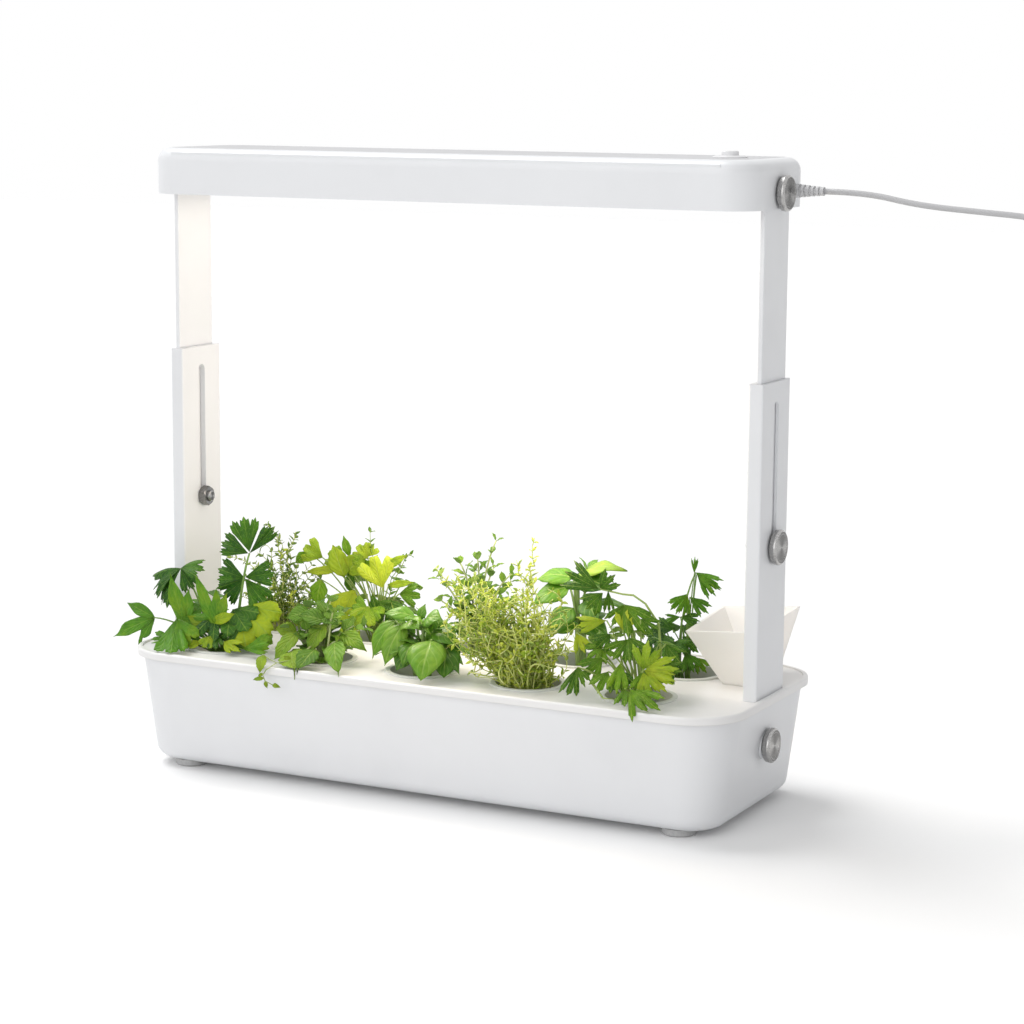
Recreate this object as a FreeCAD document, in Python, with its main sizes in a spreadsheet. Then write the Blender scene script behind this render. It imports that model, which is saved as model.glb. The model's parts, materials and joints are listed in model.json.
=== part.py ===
import FreeCAD, Part
import math
import os
import Sketcher
from FreeCAD import Placement, Rotation, Vector

# Countertop hydroponic garden, in millimetres.
# X runs along the tray, Y from front to back, Z up; the origin lies on the table under the middle.

os.makedirs("parts", exist_ok=True)
doc = FreeCAD.newDocument("hydroponic_garden")
sheet = doc.addObject("Spreadsheet::Sheet", "dims")

SIZES = {
    # Water tray
    "tray_half_length": 236.0,
    "tray_half_depth": 90.0,
    "tray_corner": 37.0,
    "tray_top": 84.0,
    "tray_draft": 7.3,
    "tray_wall": 2.4,
    "tray_floor": 3.0,
    "tray_bottom_round": 10.0,
    "foot_height": 5.0,
    "foot_radius": 12.0,
    "foot_inset_x": 40.0,
    "foot_inset_y": 28.0,
    "post_seat_margin": 4.0,
    # Pot plate that covers the tray
    "rim_overhang": 4.0,
    "rim_height": 5.5,
    "rim_bead": 3.6,
    "rim_step": 1.2,
    "plate_thickness": 2.8,
    "rim_clearance": 1.6,
    # Pots, five along the tray in two rows
    "pot_pitch": 84.0,
    "pot_row_shift": -5.0,
    "pot_column_shift": -10.0,
    "pot_hole_radius": 25.0,
    "pot_flange_lip": 1.8,
    "pot_flange_thickness": 1.2,
    "pot_wall": 1.3,
    "pot_clearance": 0.6,
    "pot_depth": 52.0,
    "pot_taper": 7.4,
    "pot_slot_width": 4.0,
    "sponge_recess": 9.0,
    "sponge_clearance": 0.4,
    # Posts: an outer sleeve on the tray, an inner post that carries the lamp
    "sleeve_inset": 6.0,
    "sleeve_thickness": 10.4,
    "sleeve_width": 50.0,
    "sleeve_side_wall": 2.95,
    "sleeve_outer_wall": 2.2,
    "sleeve_floor": 8.0,
    "post_thickness": 3.5,
    "post_clearance": 0.25,
    "post_side_clearance": 0.3,
    "post_below_bolt": 18.0,
    "post_above_axis": 12.0,
    "tongue_thickness": 3.0,
    "tongue_inset": 5.0,
    "tongue_clearance": 0.3,
    "tongue_below_bolt": 10.0,
    # Clamp screws
    "bolt_diameter": 8.0,
    "bolt_clearance": 0.4,
    "bolt_past_nut": 2.4,
    "nut_flats": 13.0,
    "nut_thickness": 6.0,
    "washer_thickness": 1.0,
    "washer_width": 5.0,
    "knob_radius": 12.2,
    "knob_thickness": 5.6,
    "knob_bevel": 0.9,
    "tray_bolt_depth": 34.8,
    "slot_bolt_rise": 103.2,
    "slot_travel": 95.0,
    "slot_end_margin": 13.6,
    # Lamp
    "lamp_rise": 331.2,
    "lamp_height": 33.0,
    "lamp_end_clearance": 0.45,
    "lamp_half_depth": 55.0,
    "lamp_corner": 24.0,
    "lamp_edge_round": 9.0,
    "lamp_wall": 2.2,
    "lamp_end_wall": 1.8,
    "lamp_roof": 3.0,
    "lamp_axis_height": 10.4,
    "lamp_post_pocket": 20.0,
    "lamp_ledge": 2.0,
    "cover_inset": 10.0,
    "cover_thickness": 1.2,
    "diffuser_thickness": 2.2,
    "diffuser_recess": 2.2,
    "diffuser_clearance": 0.3,
    "led_board_thickness": 1.6,
    "led_size": 3.0,
    "led_pitch_x": 26.0,
    "led_pitch_y": 24.0,
    "led_height": 0.8,
    # Push button on top of the lamp
    "button_inset": 37.0,
    "button_radius": 5.9,
    "button_stand": 4.6,
    "button_travel": 1.5,
    "button_flange": 1.2,
    "button_clearance": 0.3,
    "bezel_radius": 12.0,
    "bezel_height": 1.6,
    "switch_board_length": 20.0,
    "switch_board_width": 22.0,
    "switch_size": 6.0,
    "switch_height": 3.4,
    # Filling hopper at the back right
    "hopper_wall": 2.0,
    "hopper_rim_front": 36.0,
    "hopper_rim_rise_x": 4.3,
    "hopper_rim_rise_y": 4.4,
    "hopper_sleeve_gap": 3.8,
    "hopper_back_gap": 6.0,
    "hopper_length": 54.0,
    "hopper_depth": 73.0,
    "throat_length": 24.0,
    "throat_depth": 42.0,
    "throat_side_inset": 3.0,
    "throat_near_inset": 5.0,
    "spigot_depth": 14.0,
    "spigot_inset": 2.0,
    "spigot_clearance": 0.4,
    # Cable
    "cable_radius": 2.0,
    "cable_exit_y": 28.0,
    "cable_exit_rise": 0.6,
    "relief_length": 20.0,
    "relief_radius": 4.6,
    "coil_radius": 28.0,
    "coil_pitch": 4.7,
    "adapter_length": 60.0,
    "adapter_width": 38.0,
    "adapter_height": 28.0,
    "adapter_pin_radius": 2.0,
    "adapter_pin_length": 19.0,
    "adapter_pin_spacing": 19.0,
}

for row, (alias, value) in enumerate(SIZES.items(), start=1):
    sheet.set(f"A{row}", alias)
    sheet.set(f"B{row}", str(value))
    sheet.setAlias(f"B{row}", alias)
doc.recompute()


class Size:
    """A length with the spreadsheet expression that it comes from."""

    def __init__(self, value, text):
        self.value = float(value)
        self.text = text

    def __add__(self, other):
        other = as_size(other)
        return Size(self.value + other.value, f"({self.text} + {other.text})")

    def __radd__(self, other):
        return as_size(other) + self

    def __sub__(self, other):
        other = as_size(other)
        return Size(self.value - other.value, f"({self.text} - {other.text})")

    def __rsub__(self, other):
        return as_size(other) - self

    def __mul__(self, other):
        other = as_size(other)
        return Size(self.value * other.value, f"({self.text} * {other.text})")

    def __rmul__(self, other):
        return as_size(other) * self

    def __truediv__(self, other):
        other = as_size(other)
        return Size(self.value / other.value, f"({self.text} / {other.text})")

    def __neg__(self):
        return Size(-self.value, f"(0 - {self.text})")


def as_size(number):
    if isinstance(number, Size):
        return number
    return Size(number, repr(float(number)))


def dim(alias):
    return Size(float(sheet.get(alias)), f"dims.{alias}")


def slope(angle):
    """Tangent of an angle in degrees, as a size without a unit."""
    return Size(math.tan(math.radians(angle.value)), f"tan({angle.text} * 1deg)")


# Derived places that several pieces share

table_to_floor = dim("foot_height")
tray_height = dim("tray_top") - table_to_floor
plate_top = dim("tray_top") + dim("plate_thickness")
rim_top = plate_top + dim("rim_step")
rim_bottom = rim_top - dim("rim_height")
lid_half_length = dim("tray_half_length") + dim("rim_overhang")
lid_half_depth = dim("tray_half_depth") + dim("rim_overhang")
lid_corner = dim("tray_corner") + dim("rim_overhang") - 1.0

slot_half_width = dim("bolt_diameter") / 2 + dim("bolt_clearance") / 2
bolt_hole_radius = slot_half_width
washer_radius = dim("bolt_diameter") / 2 + dim("washer_width")
tray_bolt_z = plate_top - dim("tray_bolt_depth")
slot_bolt_z = plate_top + dim("slot_bolt_rise")
sleeve_centre_x = dim("tray_half_length") - dim("sleeve_inset")
sleeve_outer = sleeve_centre_x + dim("sleeve_thickness") / 2
sleeve_inner = sleeve_centre_x - dim("sleeve_thickness") / 2
sleeve_top = slot_bolt_z + dim("slot_travel") + slot_half_width + dim("slot_end_margin")
tongue_width = dim("sleeve_width") - dim("tongue_inset") * 2
post_outer = sleeve_outer - dim("sleeve_outer_wall") - dim("post_clearance")
post_inner = post_outer - dim("post_thickness")
post_width = dim("sleeve_width") - (dim("sleeve_side_wall") + dim("post_side_clearance")) * 2

lamp_bottom = plate_top + dim("lamp_rise")
lamp_top = lamp_bottom + dim("lamp_height")
lamp_axis_z = lamp_bottom + dim("lamp_axis_height")
lamp_ceiling = lamp_top - dim("lamp_roof")
lamp_half_length = post_outer + dim("lamp_end_clearance") + dim("lamp_end_wall")
diffuser_top = lamp_bottom + dim("diffuser_recess") + dim("diffuser_thickness")
bulkhead_x = lamp_half_length - dim("lamp_end_wall") - dim("lamp_post_pocket")
button_x = lamp_half_length - dim("button_inset")
cable_exit_z = lamp_axis_z + dim("cable_exit_rise")

hopper_right = sleeve_inner - dim("hopper_sleeve_gap")
hopper_left = hopper_right - dim("hopper_length")
hopper_far = dim("tray_half_depth") - dim("hopper_back_gap")
hopper_near = hopper_far - dim("hopper_depth")
throat_right = hopper_right - dim("throat_side_inset")
throat_left = throat_right - dim("throat_length")
throat_near = hopper_near + dim("throat_near_inset")
throat_far = throat_near + dim("throat_depth")

pot_neck = dim("pot_hole_radius") - dim("pot_clearance")
pot_foot = pot_neck - dim("pot_taper")


def pot_centre(column, row):
    """Middle of one pot hole; column 0 to 4 from the left, row 0 in front and 1 behind."""
    x = dim("pot_column_shift") + dim("pot_pitch") * (column - 2)
    y = dim("pot_row_shift") + dim("pot_pitch") * (row - 0.5)
    return x, y


# Sketch and feature helpers

def new_body(label):
    return doc.addObject("PartDesign::Body", label)


def origin_plane(body, role):
    return [item for item in body.Origin.OriginFeatures if item.Role == role][0]


def new_sketch(body, name, plane="XY_Plane", offset=0.0):
    sketch = body.newObject("Sketcher::SketchObject", f"{body.Label}_{name}")
    sketch.AttachmentSupport = [(origin_plane(body, plane), "")]
    sketch.MapMode = "FlatFace"
    offset = as_size(offset)
    sketch.AttachmentOffset = Placement(Vector(0, 0, offset.value), Rotation())
    sketch.setExpression("AttachmentOffset.Base.z", offset.text)
    return sketch


def fix_point(sketch, geometry, position, x, y):
    for kind, length in (("DistanceX", as_size(x)), ("DistanceY", as_size(y))):
        index = sketch.addConstraint(
            Sketcher.Constraint(kind, -1, 1, geometry, position, length.value))
        sketch.setExpression(f"Constraints[{index}]", length.text)


def fix_radius(sketch, geometry, radius):
    radius = as_size(radius)
    index = sketch.addConstraint(Sketcher.Constraint("Radius", geometry, radius.value))
    sketch.setExpression(f"Constraints[{index}]", radius.text)


def draw_circle(sketch, x, y, radius):
    x, y, radius = as_size(x), as_size(y), as_size(radius)
    centre = Vector(x.value, y.value, 0)
    circle = sketch.addGeometry(Part.Circle(centre, Vector(0, 0, 1), radius.value), False)
    fix_point(sketch, circle, 3, x, y)
    fix_radius(sketch, circle, radius)


def draw_polygon(sketch, points):
    points = [(as_size(x), as_size(y)) for x, y in points]
    corners = [Vector(x.value, y.value, 0) for x, y in points]
    lines = []
    for start, end in zip(corners, corners[1:] + corners[:1]):
        lines.append(sketch.addGeometry(Part.LineSegment(start, end), False))
    for line, following in zip(lines, lines[1:] + lines[:1]):
        sketch.addConstraint(Sketcher.Constraint("Coincident", line, 2, following, 1))
    for line, (x, y) in zip(lines, points):
        fix_point(sketch, line, 1, x, y)


def draw_box(sketch, left, right, bottom, top):
    draw_polygon(sketch, [(left, bottom), (right, bottom), (right, top), (left, top)])


def draw_rounded(sketch, x, y, half_x, half_y, radius):
    """Rectangle with round corners about the point x, y."""
    x, y = as_size(x), as_size(y)
    half_x, half_y, radius = as_size(half_x), as_size(half_y), as_size(radius)
    quarters = ((1, 1, 0), (-1, 1, 90), (-1, -1, 180), (1, -1, 270))
    arcs = []
    ends = []
    for side_x, side_y, start in quarters:
        centre_x = x + (half_x - radius) * side_x
        centre_y = y + (half_y - radius) * side_y
        circle = Part.Circle(Vector(centre_x.value, centre_y.value, 0), Vector(0, 0, 1), radius.value)
        arc = Part.ArcOfCircle(circle, math.radians(start), math.radians(start + 90))
        index = sketch.addGeometry(arc, False)
        fix_point(sketch, index, 3, centre_x, centre_y)
        fix_radius(sketch, index, radius)
        arcs.append(index)
        ends.append((arc.StartPoint, arc.EndPoint))
    for number in range(4):
        following = (number + 1) % 4
        line = sketch.addGeometry(Part.LineSegment(ends[number][1], ends[following][0]), False)
        sketch.addConstraint(Sketcher.Constraint("Tangent", arcs[number], 2, line, 1))
        sketch.addConstraint(Sketcher.Constraint("Tangent", line, 2, arcs[following], 1))


def extrude(body, kind, name, sketch, length, backward=False, both=False, taper=None):
    feature = body.newObject(f"PartDesign::{kind}", f"{body.Label}_{name}")
    feature.Profile = sketch
    feature.Type = "Length"
    feature.SideType = "Symmetric" if both else "One side"
    feature.Reversed = backward
    feature.setExpression("Length", as_size(length).text)
    if taper is not None:
        feature.setExpression("TaperAngle", as_size(taper).text)
    sketch.Visibility = False
    return feature


def pad(body, name, sketch, length, **options):
    return extrude(body, "Pad", name, sketch, length, **options)


def pocket(body, name, sketch, length, **options):
    return extrude(body, "Pocket", name, sketch, length, **options)


def revolve(body, name, sketch, axis, kind="Revolution"):
    feature = body.newObject(f"PartDesign::{kind}", f"{body.Label}_{name}")
    feature.Profile = sketch
    feature.ReferenceAxis = (sketch, [axis])
    feature.Angle = 360
    sketch.Visibility = False
    return feature


def dress(body, kind, name, edge_test, size):
    """Fillet or chamfer on the edges of the body's tip that pass the test."""
    doc.recompute()
    base = body.Tip
    names = [f"Edge{number}" for number, edge in enumerate(base.Shape.Edges, start=1)
             if edge_test(edge)]
    if not names:
        raise RuntimeError(f"{body.Label} {name}: no edge found")
    feature = body.newObject(f"PartDesign::{kind}", f"{body.Label}_{name}")
    feature.Base = (base, names)
    feature.setExpression("Radius" if kind == "Fillet" else "Size", as_size(size).text)
    return feature


def flat_at(height, tolerance=0.01):
    """Edge test: the whole edge lies at one height."""
    level = as_size(height).value

    def test(edge):
        box = edge.BoundBox
        return abs(box.ZMin - level) < tolerance and abs(box.ZMax - level) < tolerance
    return test


def place(obj, x=0.0, y=0.0, z=0.0, turn=0.0, axis=Vector(0, 0, 1)):
    obj.Placement = Placement(Vector(as_size(x).value, as_size(y).value, as_size(z).value),
                              Rotation(axis, turn))
    for letter, value in (("x", x), ("y", y), ("z", z)):
        obj.setExpression(f"Placement.Base.{letter}", as_size(value).text)


def primitive(kind, label, **sizes):
    obj = doc.addObject(f"Part::{kind}", label)
    for name, value in sizes.items():
        obj.setExpression(name, as_size(value).text)
    return obj


def boolean(kind, label, base, tool):
    obj = doc.addObject(f"Part::{kind}", label)
    obj.Base = base
    obj.Tool = tool
    return obj


def group(label, pieces):
    """Several separate solids under one name."""
    obj = doc.addObject("Part::MultiFuse", label)
    obj.Shapes = pieces
    return obj


def shape_feature(label, shape):
    obj = doc.addObject("Part::Feature", label)
    obj.Shape = shape
    return obj


nodes = []


def keep(obj):
    nodes.append(obj)
    return obj


def tray_outer_at(height):
    """Half length of the tray's outside at a height, on its drafted wall."""
    return dim("tray_half_length") - (dim("tray_top") - height) * slope(dim("tray_draft"))


# Base

def make_tray():
    body = new_body("water_tray")
    outline = new_sketch(body, "outline", offset=dim("tray_top"))
    draw_rounded(outline, 0, 0, dim("tray_half_length"), dim("tray_half_depth"), dim("tray_corner"))
    pad(body, "outside", outline, tray_height, backward=True, taper=-dim("tray_draft"))
    dress(body, "Fillet", "bottom_round", flat_at(table_to_floor), dim("tray_bottom_round"))

    inside = new_sketch(body, "inside", offset=dim("tray_top"))
    draw_rounded(inside, 0, 0, dim("tray_half_length") - dim("tray_wall"),
                 dim("tray_half_depth") - dim("tray_wall"), dim("tray_corner") - dim("tray_wall"))
    pocket(body, "hollow", inside, tray_height - dim("tray_floor"), taper=-dim("tray_draft"))
    dress(body, "Fillet", "hollow_round", flat_at(table_to_floor + dim("tray_floor")),
          dim("tray_bottom_round") - dim("tray_floor") + 0.4)

    seat_bottom = tray_bolt_z - dim("tongue_below_bolt")
    seat_top = dim("tray_top") - 0.6
    seat_face = sleeve_inner + dim("tongue_thickness") + 0.2
    for side in (1, -1):
        seat = new_sketch(body, f"post_seat_{side + 1}", "XZ_Plane")
        buried = dim("tray_wall") / 2
        draw_polygon(seat, [
            (seat_face * side, seat_bottom),
            ((tray_outer_at(seat_bottom) - buried) * side, seat_bottom),
            ((tray_outer_at(seat_top) - buried) * side, seat_top),
            (seat_face * side, seat_top)])
        pad(body, f"seat_{side + 1}", seat, tongue_width + dim("post_seat_margin") * 2, both=True)
        boss = new_sketch(body, f"knob_boss_{side + 1}", "YZ_Plane", offset=knob_seat_x * side)
        draw_circle(boss, 0, tray_bolt_z, washer_radius + 0.6)
        pad(body, f"boss_{side + 1}", boss, knob_boss_depth, backward=side > 0)
    bore = new_sketch(body, "bolt_bore", "YZ_Plane")
    draw_circle(bore, 0, tray_bolt_z, bolt_hole_radius)
    pocket(body, "bores", bore, dim("tray_half_length") * 2 + 20, both=True)
    return keep(body)


knob_seat_x = tray_outer_at(tray_bolt_z + washer_radius + 0.6) + 0.3
knob_boss_depth = knob_seat_x - tray_outer_at(tray_bolt_z) + 1.2


def make_feet():
    feet = []
    x = dim("tray_half_length") - dim("foot_inset_x")
    y = dim("tray_half_depth") - dim("foot_inset_y")
    for number, (side_x, side_y) in enumerate(((1, 1), (-1, 1), (-1, -1), (1, -1))):
        tread = primitive("Cone", f"foot_tread_{number}", Radius1=dim("foot_radius") - 1,
                          Radius2=dim("foot_radius"), Height=1)
        place(tread, x * side_x, y * side_y, 0)
        stem = primitive("Cylinder", f"foot_stem_{number}", Radius=dim("foot_radius"),
                         Height=dim("foot_height") - 1)
        place(stem, x * side_x, y * side_y, 1)
        feet.append(boolean("Fuse", f"foot_{number}", tread, stem))
    return keep(group("tray_feet", feet))


def make_pot_plate():
    body = new_body("pot_plate")
    outline = new_sketch(body, "outline", offset=rim_bottom)
    draw_rounded(outline, 0, 0, lid_half_length, lid_half_depth, lid_corner)
    pad(body, "slab", outline, dim("rim_height"))
    dress(body, "Fillet", "rim_roll", flat_at(rim_top), dim("rim_bead") / 2)

    sunk = new_sketch(body, "sunk", offset=rim_top)
    draw_rounded(sunk, 0, 0, lid_half_length - dim("rim_bead"), lid_half_depth - dim("rim_bead"),
                 lid_corner - dim("rim_bead"))
    pocket(body, "deck", sunk, dim("rim_step"))

    below = new_sketch(body, "below", offset=rim_bottom)
    half_length = dim("tray_half_length") + dim("rim_clearance")
    half_depth = dim("tray_half_depth") + dim("rim_clearance")
    draw_rounded(below, 0, 0, half_length, half_depth, dim("tray_corner") + dim("rim_clearance"))
    pocket(body, "tray_recess", below, dim("tray_top") - rim_bottom, backward=True)

    holes = new_sketch(body, "pot_holes", offset=rim_top)
    for column in range(5):
        for row in range(2):
            x, y = pot_centre(column, row)
            draw_circle(holes, x, y, dim("pot_hole_radius"))
    pocket(body, "pots", holes, dim("rim_height"))

    slots = new_sketch(body, "openings", offset=rim_top)
    gap = dim("tongue_clearance")
    for side in (1, -1):
        centre = sleeve_inner + dim("tongue_thickness") / 2
        draw_rounded(slots, centre * side, 0, dim("tongue_thickness") / 2 + gap,
                     tongue_width / 2 + gap, 0.6)
    left, right, near, far = spigot_sides()
    gap = dim("spigot_clearance")
    draw_rounded(slots, (left + right) / 2, (near + far) / 2, (right - left) / 2 + gap,
                 (far - near) / 2 + gap, 3)
    pocket(body, "slots", slots, dim("rim_height"))
    return keep(body)


def spigot_sides():
    inset = dim("spigot_inset")
    return (throat_left + inset, throat_right - inset,
            throat_near + inset, throat_far - inset)


def make_sleeve(side, label):
    body = new_body(label)
    foot = new_sketch(body, "foot", offset=plate_top)
    draw_rounded(foot, sleeve_centre_x * side, 0, dim("sleeve_thickness") / 2,
                 dim("sleeve_width") / 2, 1.5)
    pad(body, "tube", foot, sleeve_top - plate_top)

    mouth = new_sketch(body, "mouth", offset=sleeve_top)
    cavity_inner = post_inner - dim("post_clearance")
    cavity_outer = post_outer + dim("post_clearance")
    draw_rounded(mouth, (cavity_inner + cavity_outer) / 2 * side, 0,
                 (cavity_outer - cavity_inner) / 2,
                 dim("sleeve_width") / 2 - dim("sleeve_side_wall"), 1.0)
    pocket(body, "cavity", mouth, sleeve_top - plate_top - dim("sleeve_floor"))

    slot = new_sketch(body, "slot", "YZ_Plane", offset=sleeve_centre_x * side)
    low = slot_bolt_z
    high = low + dim("slot_travel")
    reach = slot_half_width
    draw_rounded(slot, 0, (low + high) / 2, slot_half_width, (high - low) / 2 + reach,
                 slot_half_width - 0.01)
    pocket(body, "slots", slot, dim("sleeve_thickness") + 4, both=True)

    root = new_sketch(body, "root", offset=plate_top)
    tongue_bottom = tray_bolt_z - dim("tongue_below_bolt")
    draw_rounded(root, (sleeve_inner + dim("tongue_thickness") / 2) * side, 0,
                 dim("tongue_thickness") / 2, tongue_width / 2, 0.4)
    pad(body, "tongue", root, plate_top - tongue_bottom, backward=True)
    bore = new_sketch(body, "bore", "YZ_Plane", offset=sleeve_inner * side)
    draw_circle(bore, 0, tray_bolt_z, bolt_hole_radius)
    pocket(body, "tongue_bore", bore, dim("tongue_thickness") * 4, both=True)
    return keep(body)


# Lamp carrier

def make_post(side, label):
    body = new_body(label)
    bottom = slot_bolt_z - dim("post_below_bolt")
    top = lamp_axis_z + dim("post_above_axis")
    face = new_sketch(body, "face", "YZ_Plane", offset=(post_inner + post_outer) / 2 * side)
    draw_box(face, -post_width / 2, post_width / 2, bottom, top)
    pad(body, "bar", face, dim("post_thickness"), both=True)

    def top_corner(edge):
        box = edge.BoundBox
        return abs(box.ZMin - top.value) < 0.01 and box.XLength > 1 and box.YLength < 0.01
    dress(body, "Fillet", "top_round", top_corner, dim("post_above_axis") - 1)

    def long_edge(edge):
        return edge.BoundBox.ZLength > 200
    dress(body, "Fillet", "edge_round", long_edge, 0.7)
    holes = new_sketch(body, "holes", "YZ_Plane", offset=(post_inner + post_outer) / 2 * side)
    for height in (slot_bolt_z, lamp_axis_z):
        draw_circle(holes, 0, height, dim("bolt_diameter") / 2 + 0.05)
    pocket(body, "bolt_holes", holes, dim("post_thickness") + 2, both=True)
    return keep(body)


def make_knob(label, seat, height, side, stud_end):
    """Round clamp knob with its stud; the knob's inner face lies at seat, the stud points inward."""
    body = new_body(label)
    profile = new_sketch(body, "profile", "XZ_Plane")
    thick = dim("knob_thickness")
    radius = dim("knob_radius")
    bevel = dim("knob_bevel")
    stud = dim("bolt_diameter") / 2
    tip = stud_end - seat
    draw_polygon(profile, [
        (tip, 0), (tip, stud - 0.8), (tip + 0.8, stud), (0, stud),
        (0, radius - 1.2), (0.8, radius - 0.4), (thick - bevel * 2, radius),
        (thick - bevel, radius - 0.3), (thick, radius - bevel - 0.6),
        (thick, radius - 2.6), (thick - 0.35, radius - 3.4), (thick - 0.35, 0)])
    revolve(body, "turned", profile, "H_Axis")
    place(body, seat * side, 0, height, 0 if side > 0 else 180)
    return keep(body)


def make_nut(label, inner_face, height, side):
    """Hex nut whose outer face lies at inner_face; chamfered on both faces."""
    circumradius = dim("nut_flats") / math.sqrt(3)
    prism = doc.addObject("Part::Prism", f"{label}_prism")
    prism.Polygon = 6
    prism.setExpression("Circumradius", circumradius.text)
    prism.setExpression("Height", dim("nut_thickness").text)
    start = inner_face - dim("nut_thickness")
    place(prism, start if side > 0 else -start, 0, height, 90 * side, Vector(0, 1, 0))
    barrel = new_body(f"{label}_barrel")
    profile = new_sketch(barrel, "profile", "XZ_Plane")
    thick = dim("nut_thickness")
    inner = dim("bolt_diameter") / 2 + 0.05
    draw_polygon(profile, [
        (0, inner), (0, dim("nut_flats") / 2 - 0.1), (1.0, circumradius + 0.3),
        (thick - 1.0, circumradius + 0.3), (thick, dim("nut_flats") / 2 - 0.1), (thick, inner)])
    revolve(barrel, "turned", profile, "H_Axis")
    place(barrel, start * side, 0, height, 0 if side > 0 else 180)
    return boolean("Common", label, prism, barrel)


def make_washer(label, seat, height, side):
    ring = primitive("Cylinder", f"{label}_disc", Radius=washer_radius,
                     Height=dim("washer_thickness"))
    hole = primitive("Cylinder", f"{label}_hole", Radius=dim("bolt_diameter") / 2 + 0.15,
                     Height=dim("washer_thickness") + 2)
    place(ring, seat * side, 0, height, 90 * side, Vector(0, 1, 0))
    place(hole, (seat - 1) * side, 0, height, 90 * side, Vector(0, 1, 0))
    return boolean("Cut", label, ring, hole)


def make_clamps():
    """Six clamp screws: two hold the sleeves, two lock the height, two carry the lamp."""
    washer = dim("washer_thickness")
    reach = dim("nut_thickness") + dim("bolt_past_nut")
    sets = (
        ("tray", knob_seat_x, tray_bolt_z, sleeve_inner),
        ("slot", sleeve_outer, slot_bolt_z, sleeve_inner),
        ("lamp", lamp_half_length, lamp_axis_z, post_inner))
    nuts = {}
    washers = {}
    for name, seat, height, nut_face in sets:
        nuts[name] = []
        washers[name] = []
        for side, hand in ((-1, "left"), (1, "right")):
            make_knob(f"{hand}_{name}_knob", seat + washer, height, side, nut_face - reach)
            nuts[name].append(make_nut(f"{hand}_{name}_nut", nut_face, height, side))
            washers[name].append(make_washer(f"{hand}_{name}_washer", seat, height, side))
    keep(group("tray_nuts", nuts["tray"]))
    keep(group("post_nuts", nuts["slot"] + nuts["lamp"]))
    keep(group("tray_washers", washers["tray"]))
    keep(group("post_washers", washers["slot"] + washers["lamp"]))


# Lamp head

def make_housing():
    body = new_body("lamp_housing")
    half_length = lamp_half_length
    half_depth = dim("lamp_half_depth")
    outline = new_sketch(body, "outline", offset=lamp_bottom)
    draw_rounded(outline, 0, 0, half_length, half_depth, dim("lamp_corner"))
    pad(body, "shell", outline, dim("lamp_height"))
    dress(body, "Fillet", "edge_round", flat_at(lamp_top), dim("lamp_edge_round"))

    inlay = new_sketch(body, "inlay", offset=lamp_top)
    cover_outline(inlay, 0)
    pocket(body, "cover_seat", inlay, dim("cover_thickness"))

    inside = new_sketch(body, "inside", offset=lamp_bottom)
    draw_rounded(inside, 0, 0, half_length - dim("lamp_end_wall"), half_depth - dim("lamp_wall"),
                 dim("lamp_corner") - dim("lamp_end_wall"))
    pocket(body, "hollow", inside, dim("lamp_height") - dim("lamp_roof"), backward=True)

    step = new_sketch(body, "step", offset=diffuser_top)
    outer_y = half_depth - dim("lamp_wall") / 2
    inner_y = half_depth - dim("lamp_wall") - dim("lamp_ledge")
    draw_box(step, -bulkhead_x, bulkhead_x, -outer_y, outer_y)
    draw_box(step, -(bulkhead_x - 4), bulkhead_x - 4, -inner_y, inner_y)
    pad(body, "ledge", step, lamp_ceiling - diffuser_top)

    lip = new_sketch(body, "lip", offset=lamp_bottom + 1)
    lip_y = half_depth - dim("lamp_wall")
    for side in (1, -1):
        draw_box(lip, (bulkhead_x - 2) * side, bulkhead_x * side, -lip_y - 1, lip_y + 1)
    pad(body, "lips", lip, diffuser_top - lamp_bottom - 1)

    for side in (1, -1):
        bore = new_sketch(body, f"bolt_bore_{side + 1}", "YZ_Plane", offset=half_length * side)
        draw_circle(bore, 0, lamp_axis_z, bolt_hole_radius)
        pocket(body, f"bore_{side + 1}", bore, 6, both=True)
    exit_hole = new_sketch(body, "cable_hole", "YZ_Plane", offset=half_length)
    draw_circle(exit_hole, dim("cable_exit_y"), cable_exit_z, dim("cable_radius") + 0.6)
    pocket(body, "cable_bore", exit_hole, 6, both=True)

    well = new_sketch(body, "button_well", offset=lamp_top)
    draw_circle(well, button_x, 0, button_flange_radius + dim("button_clearance"))
    pocket(body, "button_bore", well, dim("lamp_roof"))

    posts = new_sketch(body, "standoffs", offset=lamp_ceiling)
    for side_x in (1, -1):
        for side_y in (1, -1):
            draw_circle(posts, button_x + (dim("switch_board_length") / 2 - 3) * side_x,
                        (dim("switch_board_width") / 2 - 3) * side_y, 2)
    pad(body, "standoff", posts, lamp_ceiling - switch_board_top, backward=True)
    return keep(body)


button_flange_radius = dim("button_radius") + 1.2
switch_board_top = (lamp_ceiling - dim("button_travel") - dim("button_flange")
                    - dim("switch_height") + 0.4)


def cover_outline(sketch, gap):
    inset = dim("cover_inset") + gap
    draw_rounded(sketch, 0, 0, lamp_half_length - inset, dim("lamp_half_depth") - inset,
                 dim("lamp_corner") - inset)


def make_cover():
    body = new_body("lamp_top_cover")
    outline = new_sketch(body, "outline", offset=lamp_top)
    cover_outline(outline, 0.2)
    pad(body, "plate", outline, dim("cover_thickness"), backward=True)
    hole = new_sketch(body, "hole", offset=lamp_top)
    draw_circle(hole, button_x, 0, dim("button_radius") + dim("button_clearance"))
    pocket(body, "button_hole", hole, dim("cover_thickness") + 1)
    return keep(body)


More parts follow.
